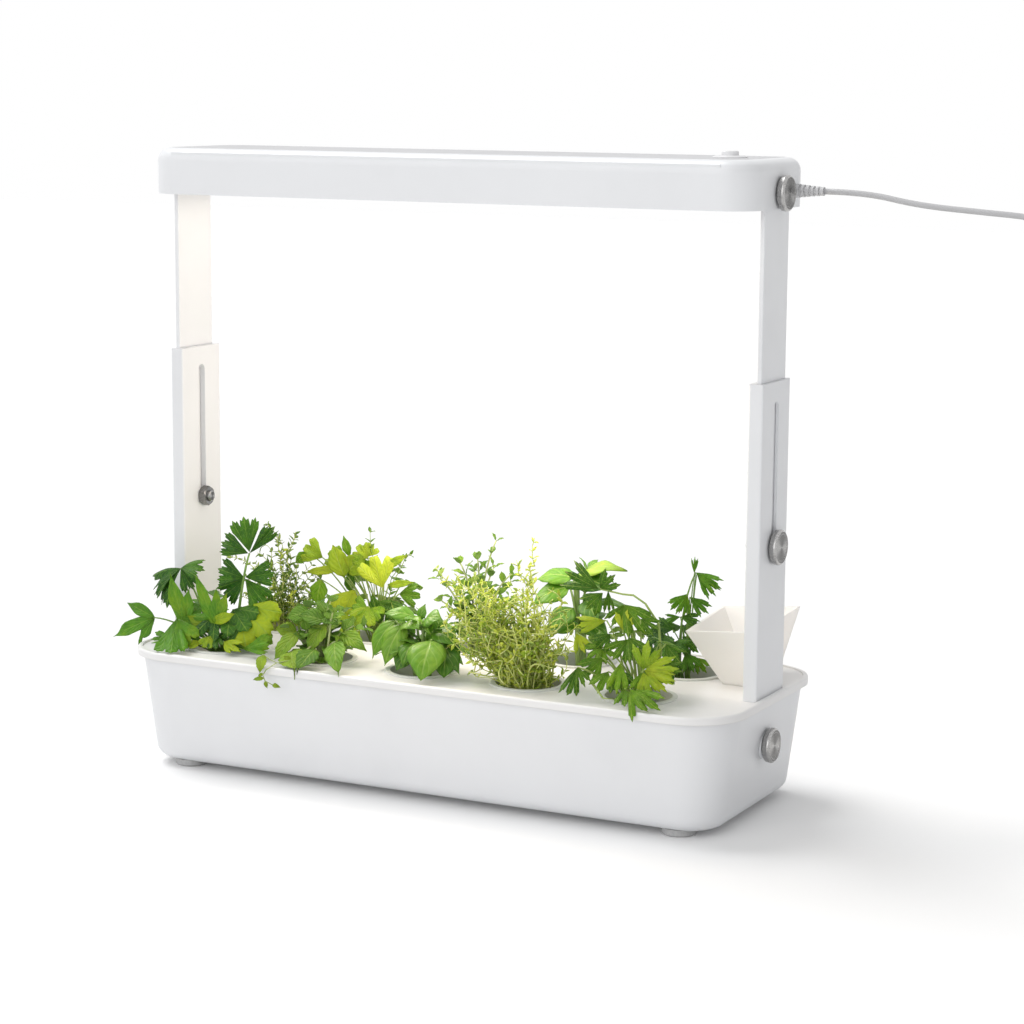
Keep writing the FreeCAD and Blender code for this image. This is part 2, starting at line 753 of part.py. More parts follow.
def make_led_board():
    board_end = button_x - dim("switch_board_length") / 2 - 6
    board = primitive("Box", "led_plate", Length=board_end + bulkhead_x - 6,
                      Width=dim("lamp_half_depth") * 2 - 14, Height=dim("led_board_thickness"))
    place(board, -(bulkhead_x - 6), -(dim("lamp_half_depth") - 7),
          lamp_ceiling - dim("led_board_thickness"))
    chips = [board]
    size = dim("led_size")
    for column in range(13):
        for row in range(3):
            chip = primitive("Box", f"led_chip_{column}_{row}", Length=size, Width=size,
                             Height=dim("led_height"))
            middle_x = dim("led_pitch_x") * (column - 6) - 12
            middle_y = dim("led_pitch_y") * (row - 1)
            place(chip, middle_x - size / 2, middle_y - size / 2,
                  lamp_ceiling - dim("led_board_thickness") - dim("led_height"))
            chips.append(chip)
    keep(group("led_board", chips))


def make_diffuser():
    gap = dim("diffuser_clearance")
    half_length = bulkhead_x - 2 - gap
    half_depth = dim("lamp_half_depth") - dim("lamp_wall") - gap
    panel = primitive("Box", "diffuser", Length=half_length * 2, Width=half_depth * 2,
                      Height=dim("diffuser_thickness"))
    place(panel, -half_length, -half_depth, diffuser_top - dim("diffuser_thickness"))
    return keep(panel)


def make_button():
    """Push button with a flange under the cover, its bezel and the switch below it."""
    body = new_body("push_button")
    flange_top = lamp_top - dim("cover_thickness") - 0.05
    flange_bottom = flange_top - dim("button_flange") + 0.05
    top = lamp_top + dim("button_stand")
    radius = dim("button_radius")
    profile = new_sketch(body, "profile", "XZ_Plane")
    draw_polygon(profile, [
        (0, flange_bottom), (button_flange_radius, flange_bottom),
        (button_flange_radius, flange_top), (radius, flange_top),
        (radius, top - 0.9), (radius - 0.25, top - 0.35), (radius - 0.9, top), (0, top)])
    revolve(body, "turned", profile, "V_Axis")
    place(body, button_x, 0, 0)
    keep(body)

    bezel = new_body("button_bezel")
    profile = new_sketch(bezel, "profile", "XZ_Plane")
    inner = radius + dim("button_clearance")
    outer = dim("bezel_radius")
    height = lamp_top + dim("bezel_height")
    draw_polygon(profile, [
        (inner, lamp_top), (outer, lamp_top), (outer, lamp_top + 0.5),
        (outer - 1.4, height - 0.3), (outer - 2.4, height), (inner + 0.8, height),
        (inner, height - 0.5)])
    revolve(bezel, "turned", profile, "V_Axis")
    place(bezel, button_x, 0, 0)
    keep(bezel)

    length = dim("switch_board_length")
    width = dim("switch_board_width")
    board = primitive("Box", "control_plate", Length=length, Width=width, Height=1.6)
    place(board, button_x - length / 2, -width / 2, switch_board_top - 1.6)
    size = dim("switch_size")
    case = primitive("Box", "switch_case", Length=size, Width=size,
                     Height=dim("switch_height") - 0.9)
    place(case, button_x - size / 2, -size / 2, switch_board_top)
    plunger = primitive("Cylinder", "switch_plunger", Radius=1.7, Height=dim("switch_height") - 0.5)
    place(plunger, button_x, 0, switch_board_top)
    keep(group("control_board", [board, case, plunger]))


# Filling hopper

def make_hopper():
    body = new_body("filling_hopper")
    base = plate_top
    top = plate_top + dim("hopper_rim_front")
    rise = 12.0

    def outline(name, height, left, right, near, far):
        sketch = new_sketch(body, name, offset=height)
        draw_box(sketch, left, right, near, far)
        return sketch

    def widened(low, high):
        """Edge of the loft above the rim, on the same slanting wall."""
        return high + (high - low) * rise / dim("hopper_rim_front")

    low = [throat_left, throat_right, throat_near, throat_far]
    mouth = [hopper_left, hopper_right, hopper_near, hopper_far]
    high = [widened(throat_edge, mouth_edge) for throat_edge, mouth_edge in zip(low, mouth)]
    loft(body, "AdditiveLoft", "walls", outline("base", base, *low),
         outline("mouth", top + rise, *high))
    wall = dim("hopper_wall")
    inward = (wall, -wall, wall, -wall)
    low_in = [edge + shift for edge, shift in zip(low, inward)]
    high_in = [edge + shift for edge, shift in zip(high, inward)]
    loft(body, "SubtractiveLoft", "funnel", outline("base_in", base + wall, *low_in),
         outline("mouth_in", top + rise, *high_in))

    left, right, near, far = spigot_sides()
    spigot = new_sketch(body, "spigot", offset=base)
    draw_rounded(spigot, (left + right) / 2, (near + far) / 2, (right - left) / 2,
                 (far - near) / 2, 2.6)
    pad(body, "pipe", spigot, dim("spigot_depth"), backward=True)
    bore = new_sketch(body, "bore", offset=base + 2)
    draw_rounded(bore, (left + right) / 2, (near + far) / 2, (right - left) / 2 - wall,
                 (far - near) / 2 - wall, 1.5)
    pocket(body, "water_way", bore, dim("spigot_depth") + 4)

    lean = Vector(-dim("hopper_rim_rise_x").value / dim("hopper_length").value,
                  -dim("hopper_rim_rise_y").value / dim("hopper_depth").value, 1)
    rim = body.newObject("Sketcher::SketchObject", "filling_hopper_rim")
    rim.AttachmentSupport = [(origin_plane(body, "XY_Plane"), "")]
    rim.MapMode = "FlatFace"
    corner = Vector(hopper_left.value, hopper_near.value, top.value)
    rim.AttachmentOffset = Placement(corner, Rotation(Vector(0, 0, 1), lean))
    for letter, place_size in (("x", hopper_left), ("y", hopper_near), ("z", top)):
        rim.setExpression(f"AttachmentOffset.Base.{letter}", place_size.text)
    draw_box(rim, -40, 160, -40, 160)
    pocket(body, "rim_cut", rim, 40, backward=True)
    return keep(body)


def loft(body, kind, name, first, last):
    feature = body.newObject(f"PartDesign::{kind}", f"{body.Label}_{name}")
    feature.Profile = first
    feature.Sections = [last]
    feature.Ruled = True
    first.Visibility = False
    last.Visibility = False
    return feature


# Pots, sponges and herbs

HERB_CROWNS = {
    # crown radius, height above the plate, share of the height where the crown is widest
    "parsley": (39.0, 92.0, 0.45),
    "mint": (38.0, 70.0, 0.5),
    "basil": (39.5, 66.0, 0.5),
    "thyme": (38.0, 84.0, 0.55),
    "celery": (38.0, 80.0, 0.4),
}
FRONT_HERBS = ("parsley", "mint", "basil", "thyme", "celery")
BACK_HERBS = ("thyme", "celery", "mint", "basil", "tall parsley")
TALL_HERB_REACH = 0.8       # share of the pot hole's radius
HERB_TO_HOPPER = 5.0


def make_pot(label, x, y):
    body = new_body(label)
    rim = dim("pot_hole_radius") + dim("pot_flange_lip")
    top = plate_top + dim("pot_flange_thickness")
    neck = pot_neck
    foot = pot_foot
    bottom = plate_top - dim("pot_depth")
    wall = dim("pot_wall")
    profile = new_sketch(body, "profile", "XZ_Plane")
    draw_polygon(profile, [
        (0, bottom), (foot, bottom), (neck, plate_top), (rim, plate_top), (rim, top - 0.4),
        (rim - 0.4, top), (neck - wall, top), (foot - wall, bottom + wall), (0, bottom + wall)])
    revolve(body, "cup", profile, "V_Axis")
    window = new_sketch(body, "window", "XZ_Plane")
    half = dim("pot_slot_width") / 2
    draw_box(window, -half, half, bottom + 6, bottom + 32)
    cut = pocket(body, "windows", window, neck * 2 + 4, both=True)
    doc.recompute()
    ring = body.newObject("PartDesign::PolarPattern", f"{label}_ring")
    ring.Originals = [cut]
    ring.Axis = (window, ["V_Axis"])
    ring.Angle = 120
    ring.Occurrences = 3
    body.Tip = ring
    place(body, x, y, 0)
    return keep(body)


def make_sponge(label, x, y):
    gap = dim("sponge_clearance")
    wall = dim("pot_wall")
    bottom = plate_top - dim("pot_depth") + wall
    top = plate_top - dim("sponge_recess")
    lean = dim("pot_taper") / dim("pot_depth")
    radius = pot_foot - wall - gap
    cone = primitive("Cone", label, Radius1=radius, Radius2=radius + (top - bottom) * lean,
                     Height=top - bottom)
    place(cone, x, y, bottom)
    return keep(cone)


def crown_profile(kind):
    """Outline of the space that one herb fills, as radii and heights from its stems up."""
    reach, height, widest = HERB_CROWNS[kind]
    stem = dim("pot_hole_radius") * 0.6
    clear = plate_top + dim("pot_flange_thickness") + 4
    top = plate_top + height
    waist = clear + (top - clear) * widest
    return [(stem * 0.7, plate_top - dim("sponge_recess")), (stem, clear),
            (reach * 0.82, clear + (waist - clear) * 0.3), (reach, waist),
            (reach * 0.86, waist + (top - waist) * 0.5),
            (reach * 0.45, top - (top - waist) * 0.12), (0, top)]


def tall_herb_lean(x):
    """How far the tall herb in the pot at x leans away from the hopper to stay clear of it."""
    needed = x + dim("pot_hole_radius") * TALL_HERB_REACH + HERB_TO_HOPPER - hopper_left
    return Size(max(needed.value, 0), f"max({needed.text}; 0)")


def tall_profile():
    """The same for the tall herb beside the hopper."""
    stem = dim("pot_hole_radius") * 0.2
    reach = dim("pot_hole_radius") * TALL_HERB_REACH
    rim = plate_top + dim("hopper_rim_front") + dim("hopper_rim_rise_y")
    return [(stem, plate_top - dim("sponge_recess")), (stem + 1, plate_top + 5),
            (reach * 0.7, plate_top + 20), (reach * 0.95, plate_top + 32), (reach, rim + 8),
            (reach, rim + 26), (reach * 0.7, rim + 42), (0, rim + 48)]


def make_herb(label, outline, x, y):
    body = new_body(label)
    profile = new_sketch(body, "profile", "XZ_Plane")
    draw_polygon(profile, [(0, outline[0][1])] + outline)
    revolve(body, "crown", profile, "V_Axis")
    place(body, x, y, 0)
    return keep(body)


def make_planting():
    for row, (rank, herbs) in enumerate((("front", FRONT_HERBS), ("back", BACK_HERBS))):
        for column, kind in enumerate(herbs):
            x, y = pot_centre(column, row)
            name = f"{rank}_{column + 1}"
            make_pot(f"net_pot_{name}", x, y)
            make_sponge(f"sponge_{name}", x, y)
            if kind == "tall parsley":
                make_herb(f"herb_{name}", tall_profile(), x - tall_herb_lean(x), y)
            else:
                make_herb(f"herb_{name}", crown_profile(kind), x, y)


# Cable

def arc_between(start, tangent, end):
    """Circular arc from start, leaving along tangent, to end."""
    chord = end.sub(start)
    along = Vector(chord).normalize()
    sideways = tangent.sub(Vector(along).multiply(tangent.dot(along)))
    if sideways.Length < 1e-6:
        return Part.LineSegment(start, end).toShape()
    angle = math.atan2(sideways.Length, tangent.dot(along))
    sagitta = chord.Length / 2 * math.tan(angle / 2)
    middle = start.add(end).multiply(0.5).add(sideways.normalize().multiply(sagitta))
    return Part.Arc(start, middle, end).toShape()


def biarc(start, leaving, end, arriving):
    """Two tangent arcs from start to end with the given directions."""
    span = end.sub(start)
    both = leaving.add(arriving)
    spread = 2 * (1 - leaving.dot(arriving))
    along = span.dot(both)
    if spread < 1e-9:
        reach = span.dot(span) / (4 * span.dot(arriving))
    else:
        reach = (-along + math.sqrt(along ** 2 + spread * span.dot(span))) / spread
    first = start.add(Vector(leaving).multiply(reach))
    last = end.sub(Vector(arriving).multiply(reach))
    joint = first.add(last).multiply(0.5)
    toward = last.sub(first).normalize()
    return [arc_between(start, leaving, joint), arc_between(joint, toward, end)]


def rounded_route(points):
    """Straight runs joined by tangent arcs, each as large as its two runs allow."""
    edges = []
    radii = []
    here = points[0]
    for before, corner, after in zip(points, points[1:], points[2:]):
        coming = corner.sub(before)
        going = after.sub(corner)
        turn = coming.getAngle(going)
        trim = 0.45 * min(coming.Length, going.Length)
        radii.append(trim / math.tan(turn / 2))
        enter = corner.sub(Vector(coming).normalize().multiply(trim))
        leave = corner.add(Vector(going).normalize().multiply(trim))
        edges.append(Part.LineSegment(here, enter).toShape())
        edges.append(arc_between(enter, Vector(coming).normalize(), leave))
        here = leave
    edges.append(Part.LineSegment(here, points[-1]).toShape())
    return Part.Wire(edges), radii


def tube(path, start, direction, radius):
    ring = Part.Wire([Part.Circle(start, direction, radius).toShape()])
    return path.makePipeShell([ring], True, False)


CABLE_HEIGHT = 2.05
CABLE_POINTS = [
    (284, 28, 429),
    (320, 28, 421.6),
    (362, 28.6, 418.4),
    (404, 31, 415.4),
    (442, 38, 402),
    (468, 50, 371),
    (478, 62, 324),
    (480, 73, 271),
    (477, 82, 217),
    (474, 88, 163),
    (473, 91, 112),
    (474.5, 91, 70),
    (475, 86, 39),
    (475, 72, 13),
    (475, 48, CABLE_HEIGHT),
]
COIL_START = Vector(475, 30, CABLE_HEIGHT)
COIL_LAYERS = 4
COIL_LAYER_TURNS = 1.875
COIL_CLIMB_TURNS = 0.5
ADAPTER_FACE = Vector(475, -15, dim("adapter_height").value / 2)
ADAPTER_RELIEF = 18.0


def make_strain_relief():
    body = new_body("strain_relief")
    profile = new_sketch(body, "profile", "XZ_Plane")
    length = dim("relief_length")
    base = dim("relief_radius")
    tip = dim("cable_radius") + 0.9
    points = [(0, 0), (0, base), (3, base)]
    ribs = 4
    pitch = (length - 6.4) / ribs
    for number in range(ribs):
        start = 3 + pitch * number
        radius = base - (base - tip) * (number + 1) / (ribs + 1)
        points.append((start, radius - 0.9))
        points.append((start + pitch * 0.45, radius - 0.9))
        points.append((start + pitch * 0.45, radius))
        points.append((start + pitch, radius - 0.1))
    points.append((length - 3.4, tip - 0.7))
    points.append((length - 2.6, tip - 0.7))
    points.append((length - 2.6, tip + 0.1))
    points.append((length, tip))
    points.append((length, 0))
    draw_polygon(profile, points)
    revolve(body, "turned", profile, "H_Axis")
    place(body, lamp_half_length, dim("cable_exit_y"), cable_exit_z)
    return keep(body)


def make_cable():
    start = Vector((lamp_half_length + dim("relief_length")).value,
                   dim("cable_exit_y").value, cable_exit_z.value)
    points = [start] + [Vector(*point) for point in CABLE_POINTS] + [COIL_START]
    path, radii = rounded_route(points)
    radius = dim("cable_radius").value
    solid = tube(path, start, points[1].sub(start), radius)
    print("cable radii", [round(value, 1) for value in radii])
    check_tube("cable", solid, path.Length, radius)
    return keep(shape_feature("lamp_cable", solid))


def check_tube(name, solid, length, radius):
    expected = math.pi * radius ** 2 * length
    print(name, "length", round(length, 1), "volume", round(solid.Volume, 1),
          "expected", round(expected, 1))


def coil_point(centre, turn):
    """Place on the coil after a number of turns; its layers spiral in and out by turns."""
    pitch = dim("coil_pitch").value
    outer = dim("coil_radius").value
    inner = outer - pitch * COIL_LAYER_TURNS
    layer = min(int(turn / (COIL_LAYER_TURNS + COIL_CLIMB_TURNS) + 1e-9), COIL_LAYERS - 1)
    along = turn - layer * (COIL_LAYER_TURNS + COIL_CLIMB_TURNS)
    first, last, outward = (outer, inner, -1) if layer % 2 == 0 else (inner, outer, 1)
    if along <= COIL_LAYER_TURNS:
        radius = first + outward * pitch * along
        level = layer
    else:
        share = (along - COIL_LAYER_TURNS) / COIL_CLIMB_TURNS
        radius = last + outward * pitch * 0.15 * math.sin(math.pi * share)
        level = layer + (1 - math.cos(math.pi * share)) / 2
    angle = math.pi * (1 + 2 * turn)
    return Vector(centre.x + radius * math.cos(angle), centre.y + radius * math.sin(angle),
                  CABLE_HEIGHT + level * pitch)


def coil_breaks():
    """Turns at which one stretch of the coil ends and the next begins."""
    breaks = [0.0]
    for layer in range(COIL_LAYERS):
        breaks += [breaks[-1] + COIL_LAYER_TURNS * (step + 1) / 8 for step in range(8)]
        if layer < COIL_LAYERS - 1:
            breaks += [breaks[-1] + COIL_CLIMB_TURNS / 2, breaks[-1] + COIL_CLIMB_TURNS]
    return breaks


def make_coil():
    """Neat coil of four layers: the cable spirals in, climbs a layer, spirals out, and so on."""
    radius = dim("cable_radius").value
    heading = Vector(0, -1, 0)
    entry = COIL_START.add(Vector(heading).multiply(4))
    centre = entry.add(Vector(dim("coil_radius").value, 0, 0))
    breaks = coil_breaks()
    step = 1e-4

    def direction(turn):
        if turn < step or turn > breaks[-1] - step:
            return heading
        return coil_point(centre, turn + step).sub(coil_point(centre, turn - step)).normalize()

    edges = [Part.LineSegment(COIL_START, entry).toShape()]
    for begin, finish in zip(breaks, breaks[1:]):
        edges += biarc(coil_point(centre, begin), direction(begin),
                       coil_point(centre, finish), direction(finish))
    relief_face = ADAPTER_FACE.sub(Vector(heading).multiply(ADAPTER_RELIEF))
    arrive = relief_face.sub(Vector(heading).multiply(4))
    edges += biarc(coil_point(centre, breaks[-1]), heading, arrive, heading)
    edges.append(Part.LineSegment(arrive, relief_face).toShape())
    path = Part.Wire(edges)
    solid = tube(path, COIL_START, heading, radius)
    check_tube("coil", solid, path.Length, radius)
    samples = []
    for edge in edges:
        samples += edge.discretize(Number=max(3, int(edge.Length / 2)))
    print("coil least gap", round(least_gap(samples, radius), 2))
    return keep(shape_feature("cable_coil", solid))


def least_gap(samples, radius):
    """Least gap between stretches of one tube that lie more than a quarter turn apart."""
    travelled = [0.0]
    for before, after in zip(samples, samples[1:]):
        travelled.append(travelled[-1] + after.sub(before).Length)
    apart = dim("coil_radius").value * math.pi / 2
    least = 1e9
    for first in range(0, len(samples), 2):
        for second in range(first + 1, len(samples)):
            if travelled[second] - travelled[first] > apart:
                least = min(least, samples[first].distanceToPoint(samples[second]))
    return least - 2 * radius


def make_adapter():
    """Plug-in mains adapter lying on the table at the cable's far end."""
    body = new_body("adapter_case")
    length = dim("adapter_length")
    width = dim("adapter_width")
    height = dim("adapter_height")
    outline = new_sketch(body, "outline", "XZ_Plane", offset=-ADAPTER_FACE.y)
    draw_rounded(outline, ADAPTER_FACE.x, height / 2, width / 2, height / 2, 5)
    pad(body, "case", outline, length)

    def end_edge(edge):
        return edge.BoundBox.YLength < 0.01
    dress(body, "Fillet", "end_round", end_edge, 2)

    pins = []
    for side in (1, -1):
        pin = primitive("Cylinder", f"adapter_pin_{side + 1}", Radius=dim("adapter_pin_radius"),
                        Height=dim("adapter_pin_length"))
        place(pin, ADAPTER_FACE.x + dim("adapter_pin_spacing") / 2 * side,
              ADAPTER_FACE.y - length, height / 2, 90, Vector(1, 0, 0))
        pins.append(pin)
    keep(group("adapter_pins", pins))

    relief = primitive("Cone", "adapter_relief", Radius1=dim("cable_radius") + 0.9,
                       Radius2=dim("cable_radius") + 2.4, Height=ADAPTER_RELIEF)
    place(relief, ADAPTER_FACE.x, ADAPTER_FACE.y + ADAPTER_RELIEF, height / 2, 90, Vector(1, 0, 0))
    keep(boolean("Fuse", "power_adapter", body, relief))


make_tray()
make_feet()
make_pot_plate()
make_sleeve(-1, "left_sleeve")
make_sleeve(1, "right_sleeve")
make_post(-1, "left_post")
make_post(1, "right_post")
make_clamps()
make_housing()
make_cover()
make_led_board()
make_diffuser()
make_button()
make_hopper()
make_planting()
make_strain_relief()
make_cable()
make_coil()
make_adapter()

doc.recompute()
faults = []
for obj in doc.Objects:
    if "Invalid" in obj.State or "Error" in obj.State:
        faults.append(f"{obj.Label}: {obj.State}")
for obj in nodes:
    shape = obj.Shape
    if shape.isNull() or not shape.isValid() or not shape.Solids:
        faults.append(f"{obj.Label}: bad shape")
        continue
    shape.exportStep(f"parts/{obj.Label}.step")
print("nodes", len(nodes), "solids", sum(len(obj.Shape.Solids) for obj in nodes))
if faults:
    raise RuntimeError("; ".join(faults))
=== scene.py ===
"""Countertop hydroponic garden: the looks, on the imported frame. Lengths are in metres."""

import json
import math
import random

import bpy
from mathutils import Matrix, Vector, noise


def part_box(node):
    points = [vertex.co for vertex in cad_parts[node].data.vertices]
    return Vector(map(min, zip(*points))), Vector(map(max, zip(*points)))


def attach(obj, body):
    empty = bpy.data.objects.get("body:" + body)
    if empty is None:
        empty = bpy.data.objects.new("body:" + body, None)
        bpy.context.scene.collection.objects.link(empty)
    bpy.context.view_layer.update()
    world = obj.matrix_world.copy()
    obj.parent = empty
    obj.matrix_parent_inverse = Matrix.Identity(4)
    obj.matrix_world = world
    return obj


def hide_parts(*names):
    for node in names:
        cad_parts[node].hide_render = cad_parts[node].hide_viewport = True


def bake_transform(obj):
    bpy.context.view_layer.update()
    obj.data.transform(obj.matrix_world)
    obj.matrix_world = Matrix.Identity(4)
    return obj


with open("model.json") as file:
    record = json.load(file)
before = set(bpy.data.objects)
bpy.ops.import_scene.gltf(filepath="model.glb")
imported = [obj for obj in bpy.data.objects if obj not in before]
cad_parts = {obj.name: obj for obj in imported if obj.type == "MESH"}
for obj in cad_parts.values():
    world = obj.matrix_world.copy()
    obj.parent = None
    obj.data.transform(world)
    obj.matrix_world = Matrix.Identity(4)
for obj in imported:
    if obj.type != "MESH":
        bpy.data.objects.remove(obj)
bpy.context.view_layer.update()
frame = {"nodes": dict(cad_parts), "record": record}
nodes = frame["nodes"]
noise.seed_set(1)

MM = 0.001
QUARTERS = ((1, 1), (-1, 1), (-1, -1), (1, -1))


# Camera

CAMERA_TARGET = Vector((0.0365, 0, 0.198))
CAMERA_DISTANCE = 1.9
CAMERA_AZIMUTH = math.radians(26.82)
CAMERA_ELEVATION = math.radians(9.29)
CAMERA_ROLL = math.radians(0.41)
LENS = 94.0
SENSOR = 36.0


def make_camera():
    """The photograph's view: from the right and slightly above, with a long lens."""
    data = bpy.data.cameras.new("camera")
    data.sensor_fit = "HORIZONTAL"
    data.sensor_width = SENSOR
    data.lens = LENS
    data.clip_start = 0.05
    camera = bpy.data.objects.new("camera", data)
    bpy.context.scene.collection.objects.link(camera)
    level = math.cos(CAMERA_ELEVATION)
    back = Vector((level * math.sin(CAMERA_AZIMUTH), -level * math.cos(CAMERA_AZIMUTH),
                   math.sin(CAMERA_ELEVATION)))
    place = CAMERA_TARGET + CAMERA_DISTANCE * back
    turn = (-back).to_track_quat("-Z", "Y").to_matrix().to_4x4()
    roll = Matrix.Rotation(CAMERA_ROLL, 4, "Z")
    camera.matrix_world = Matrix.Translation(place) @ turn @ roll
    bpy.context.scene.camera = camera


make_camera()


# Meshes

def new_object(name, verts, faces, materials, smooth=True):
    mesh = bpy.data.meshes.new(name)
    mesh.from_pydata([tuple(v) for v in verts], [], faces)
    for material in materials:
        mesh.materials.append(material)
    for polygon in mesh.polygons:
        polygon.use_smooth = smooth
    mesh.update()
    obj = bpy.data.objects.new(name, mesh)
    bpy.context.scene.collection.objects.link(obj)
    return obj


def ring_faces(rings, sides, closed=False):
    """Faces between rings of that many points; closed joins the last ring to the first."""
    faces = []
    for ring in range(rings if closed else rings - 1):
        first = ring * sides
        second = (ring + 1) % rings * sides
        for side in range(sides):
            beside = (side + 1) % sides
            faces.append((first + side, first + beside, second + beside, second + side))
    return faces


def end_caps(count, sides):
    """The faces that close both ends of a row of rings with count points in all."""
    return [tuple(range(sides - 1, -1, -1)), tuple(range(count - sides, count))]


def tube_mesh(path, radii, sides):
    """Vertices and faces of a closed tube whose rings follow path without twisting."""
    verts = []
    tangent = (path[1] - path[0]).normalized()
    across = tangent.orthogonal().normalized()
    for index, point in enumerate(path):
        before = path[max(index - 1, 0)]
        after = path[min(index + 1, len(path) - 1)]
        tangent = (after - before).normalized()
        across = (across - tangent * across.dot(tangent)).normalized()
        other = tangent.cross(across)
        radius = radii[index] if isinstance(radii, list) else radii
        for side in range(sides):
            angle = 2 * math.pi * side / sides
            verts.append(point + (across * math.cos(angle) + other * math.sin(angle)) * radius)
    return verts, ring_faces(len(path), sides) + end_caps(len(verts), sides)


# Materials

def node_material(name, **values):
    """A material with its shader; values go on the shader's own sockets."""
    material = bpy.data.materials.new(name)
    material.use_nodes = True
    shader = material.node_tree.nodes["Principled BSDF"]
    for key, value in values.items():
        socket = shader.inputs[key.replace("_", " ")]
        if isinstance(value, tuple) and len(value) == 3 and socket.type == "RGBA":
            value = (*value, 1.0)
        socket.default_value = value
    return material, material.node_tree, shader


def add_noise(tree, scale, detail=4.0, roughness=0.5, stretch=None):
    place = tree.nodes.new("ShaderNodeTexCoord").outputs["Object"]
    if stretch:
        mapping = tree.nodes.new("ShaderNodeMapping")
        mapping.inputs["Scale"].default_value = stretch
        tree.links.new(place, mapping.inputs["Vector"])
        place = mapping.outputs["Vector"]
    texture = tree.nodes.new("ShaderNodeTexNoise")
    texture.inputs["Scale"].default_value = scale
    texture.inputs["Detail"].default_value = detail
    texture.inputs["Roughness"].default_value = roughness
    tree.links.new(place, texture.inputs["Vector"])
    return texture.outputs["Fac"]


def ramp(tree, value, stops):
    """Colours by position for a value from 0 to 1."""
    node = tree.nodes.new("ShaderNodeValToRGB")
    elements = node.color_ramp.elements
    elements[0].position, elements[1].position = stops[0][0], stops[-1][0]
    elements[0].color = (*stops[0][1], 1)
    elements[1].color = (*stops[-1][1], 1)
    for position, colour in stops[1:-1]:
        elements.new(position).color = (*colour, 1)
    tree.links.new(value, node.inputs["Fac"])
    return node.outputs["Color"]


def remap(tree, value, low, high, from_low=0.3, from_high=0.7):
    node = tree.nodes.new("ShaderNodeMapRange")
    node.inputs["From Min"].default_value = from_low
    node.inputs["From Max"].default_value = from_high
    node.inputs["To Min"].default_value = low
    node.inputs["To Max"].default_value = high
    tree.links.new(value, node.inputs["Value"])
    return node.outputs["Result"]


def math_node(tree, operation, first, second=None, clamp=False):
    node = tree.nodes.new("ShaderNodeMath")
    node.operation = operation
    node.use_clamp = clamp
    for socket, value in zip(node.inputs, (first, second)):
        if value is None:
            continue
        if isinstance(value, (int, float)):
            socket.default_value = value
        else:
            tree.links.new(value, socket)
    return node.outputs["Value"]


def mix_colours(tree, share, first, second):
    node = tree.nodes.new("ShaderNodeMix")
    node.data_type = "RGBA"
    for socket, value in ((node.inputs[0], share), (node.inputs[6], first), (node.inputs[7], second)):
        if isinstance(value, tuple):
            socket.default_value = (*value, 1)
        elif isinstance(value, (int, float)):
            socket.default_value = value
        else:
            tree.links.new(value, socket)
    return node.outputs[2]


def add_bump(tree, shader, height, distance, edge=0.0):
    """Surface relief; edge also softens the piece's edges by that radius."""
    node = tree.nodes.new("ShaderNodeBump")
    if edge:
        bevel = tree.nodes.new("ShaderNodeBevel")
        bevel.inputs["Radius"].default_value = edge
        tree.links.new(bevel.outputs["Normal"], node.inputs["Normal"])
    node.inputs["Strength"].default_value = 1.0
    node.inputs["Distance"].default_value = distance
    tree.links.new(height, node.inputs["Height"])
    tree.links.new(node.outputs["Normal"], shader.inputs["Normal"])


def tinted(colour, factor):
    return tuple(min(channel * factor, 1.0) for channel in colour)


def plastic(name, colour, rough=0.4, grain=1400, vary=0.03, coat=0.0, edge=0.0008, **values):
    """Moulded plastic: a faint spark-eroded grain, slow colour drift and uneven gloss."""
    material, tree, shader = node_material(name, Coat_Weight=coat, Coat_Roughness=0.2, **values)
    drift = add_noise(tree, 14, detail=3)
    colours = ramp(tree, drift, [(0.3, tinted(colour, 1 - vary)), (0.5, colour),
                                 (0.7, tinted(colour, 1 + vary * 0.4))])
    tree.links.new(colours, shader.inputs["Base Color"])
    smear = add_noise(tree, 60, detail=5, roughness=0.6)
    tree.links.new(remap(tree, smear, rough - 0.05, rough + 0.06), shader.inputs["Roughness"])
    add_bump(tree, shader, add_noise(tree, grain, detail=2), 0.00002, edge=edge)
    return material


def metal(name, dark, light, rough):
    """Turned or plated metal with fine tool marks."""
    material, tree, shader = node_material(name, Metallic=1.0)
    marks = add_noise(tree, 900, detail=5, roughness=0.65)
    patches = add_noise(tree, 90, detail=3)
    both = math_node(tree, "ADD", math_node(tree, "MULTIPLY", marks, 0.6),
                     math_node(tree, "MULTIPLY", patches, 0.4))
    tree.links.new(ramp(tree, both, [(0.35, dark), (0.65, light)]), shader.inputs["Base Color"])
    tree.links.new(remap(tree, marks, rough - 0.06, rough + 0.08), shader.inputs["Roughness"])
    add_bump(tree, shader, marks, 0.00001, edge=0.0004)
    return material


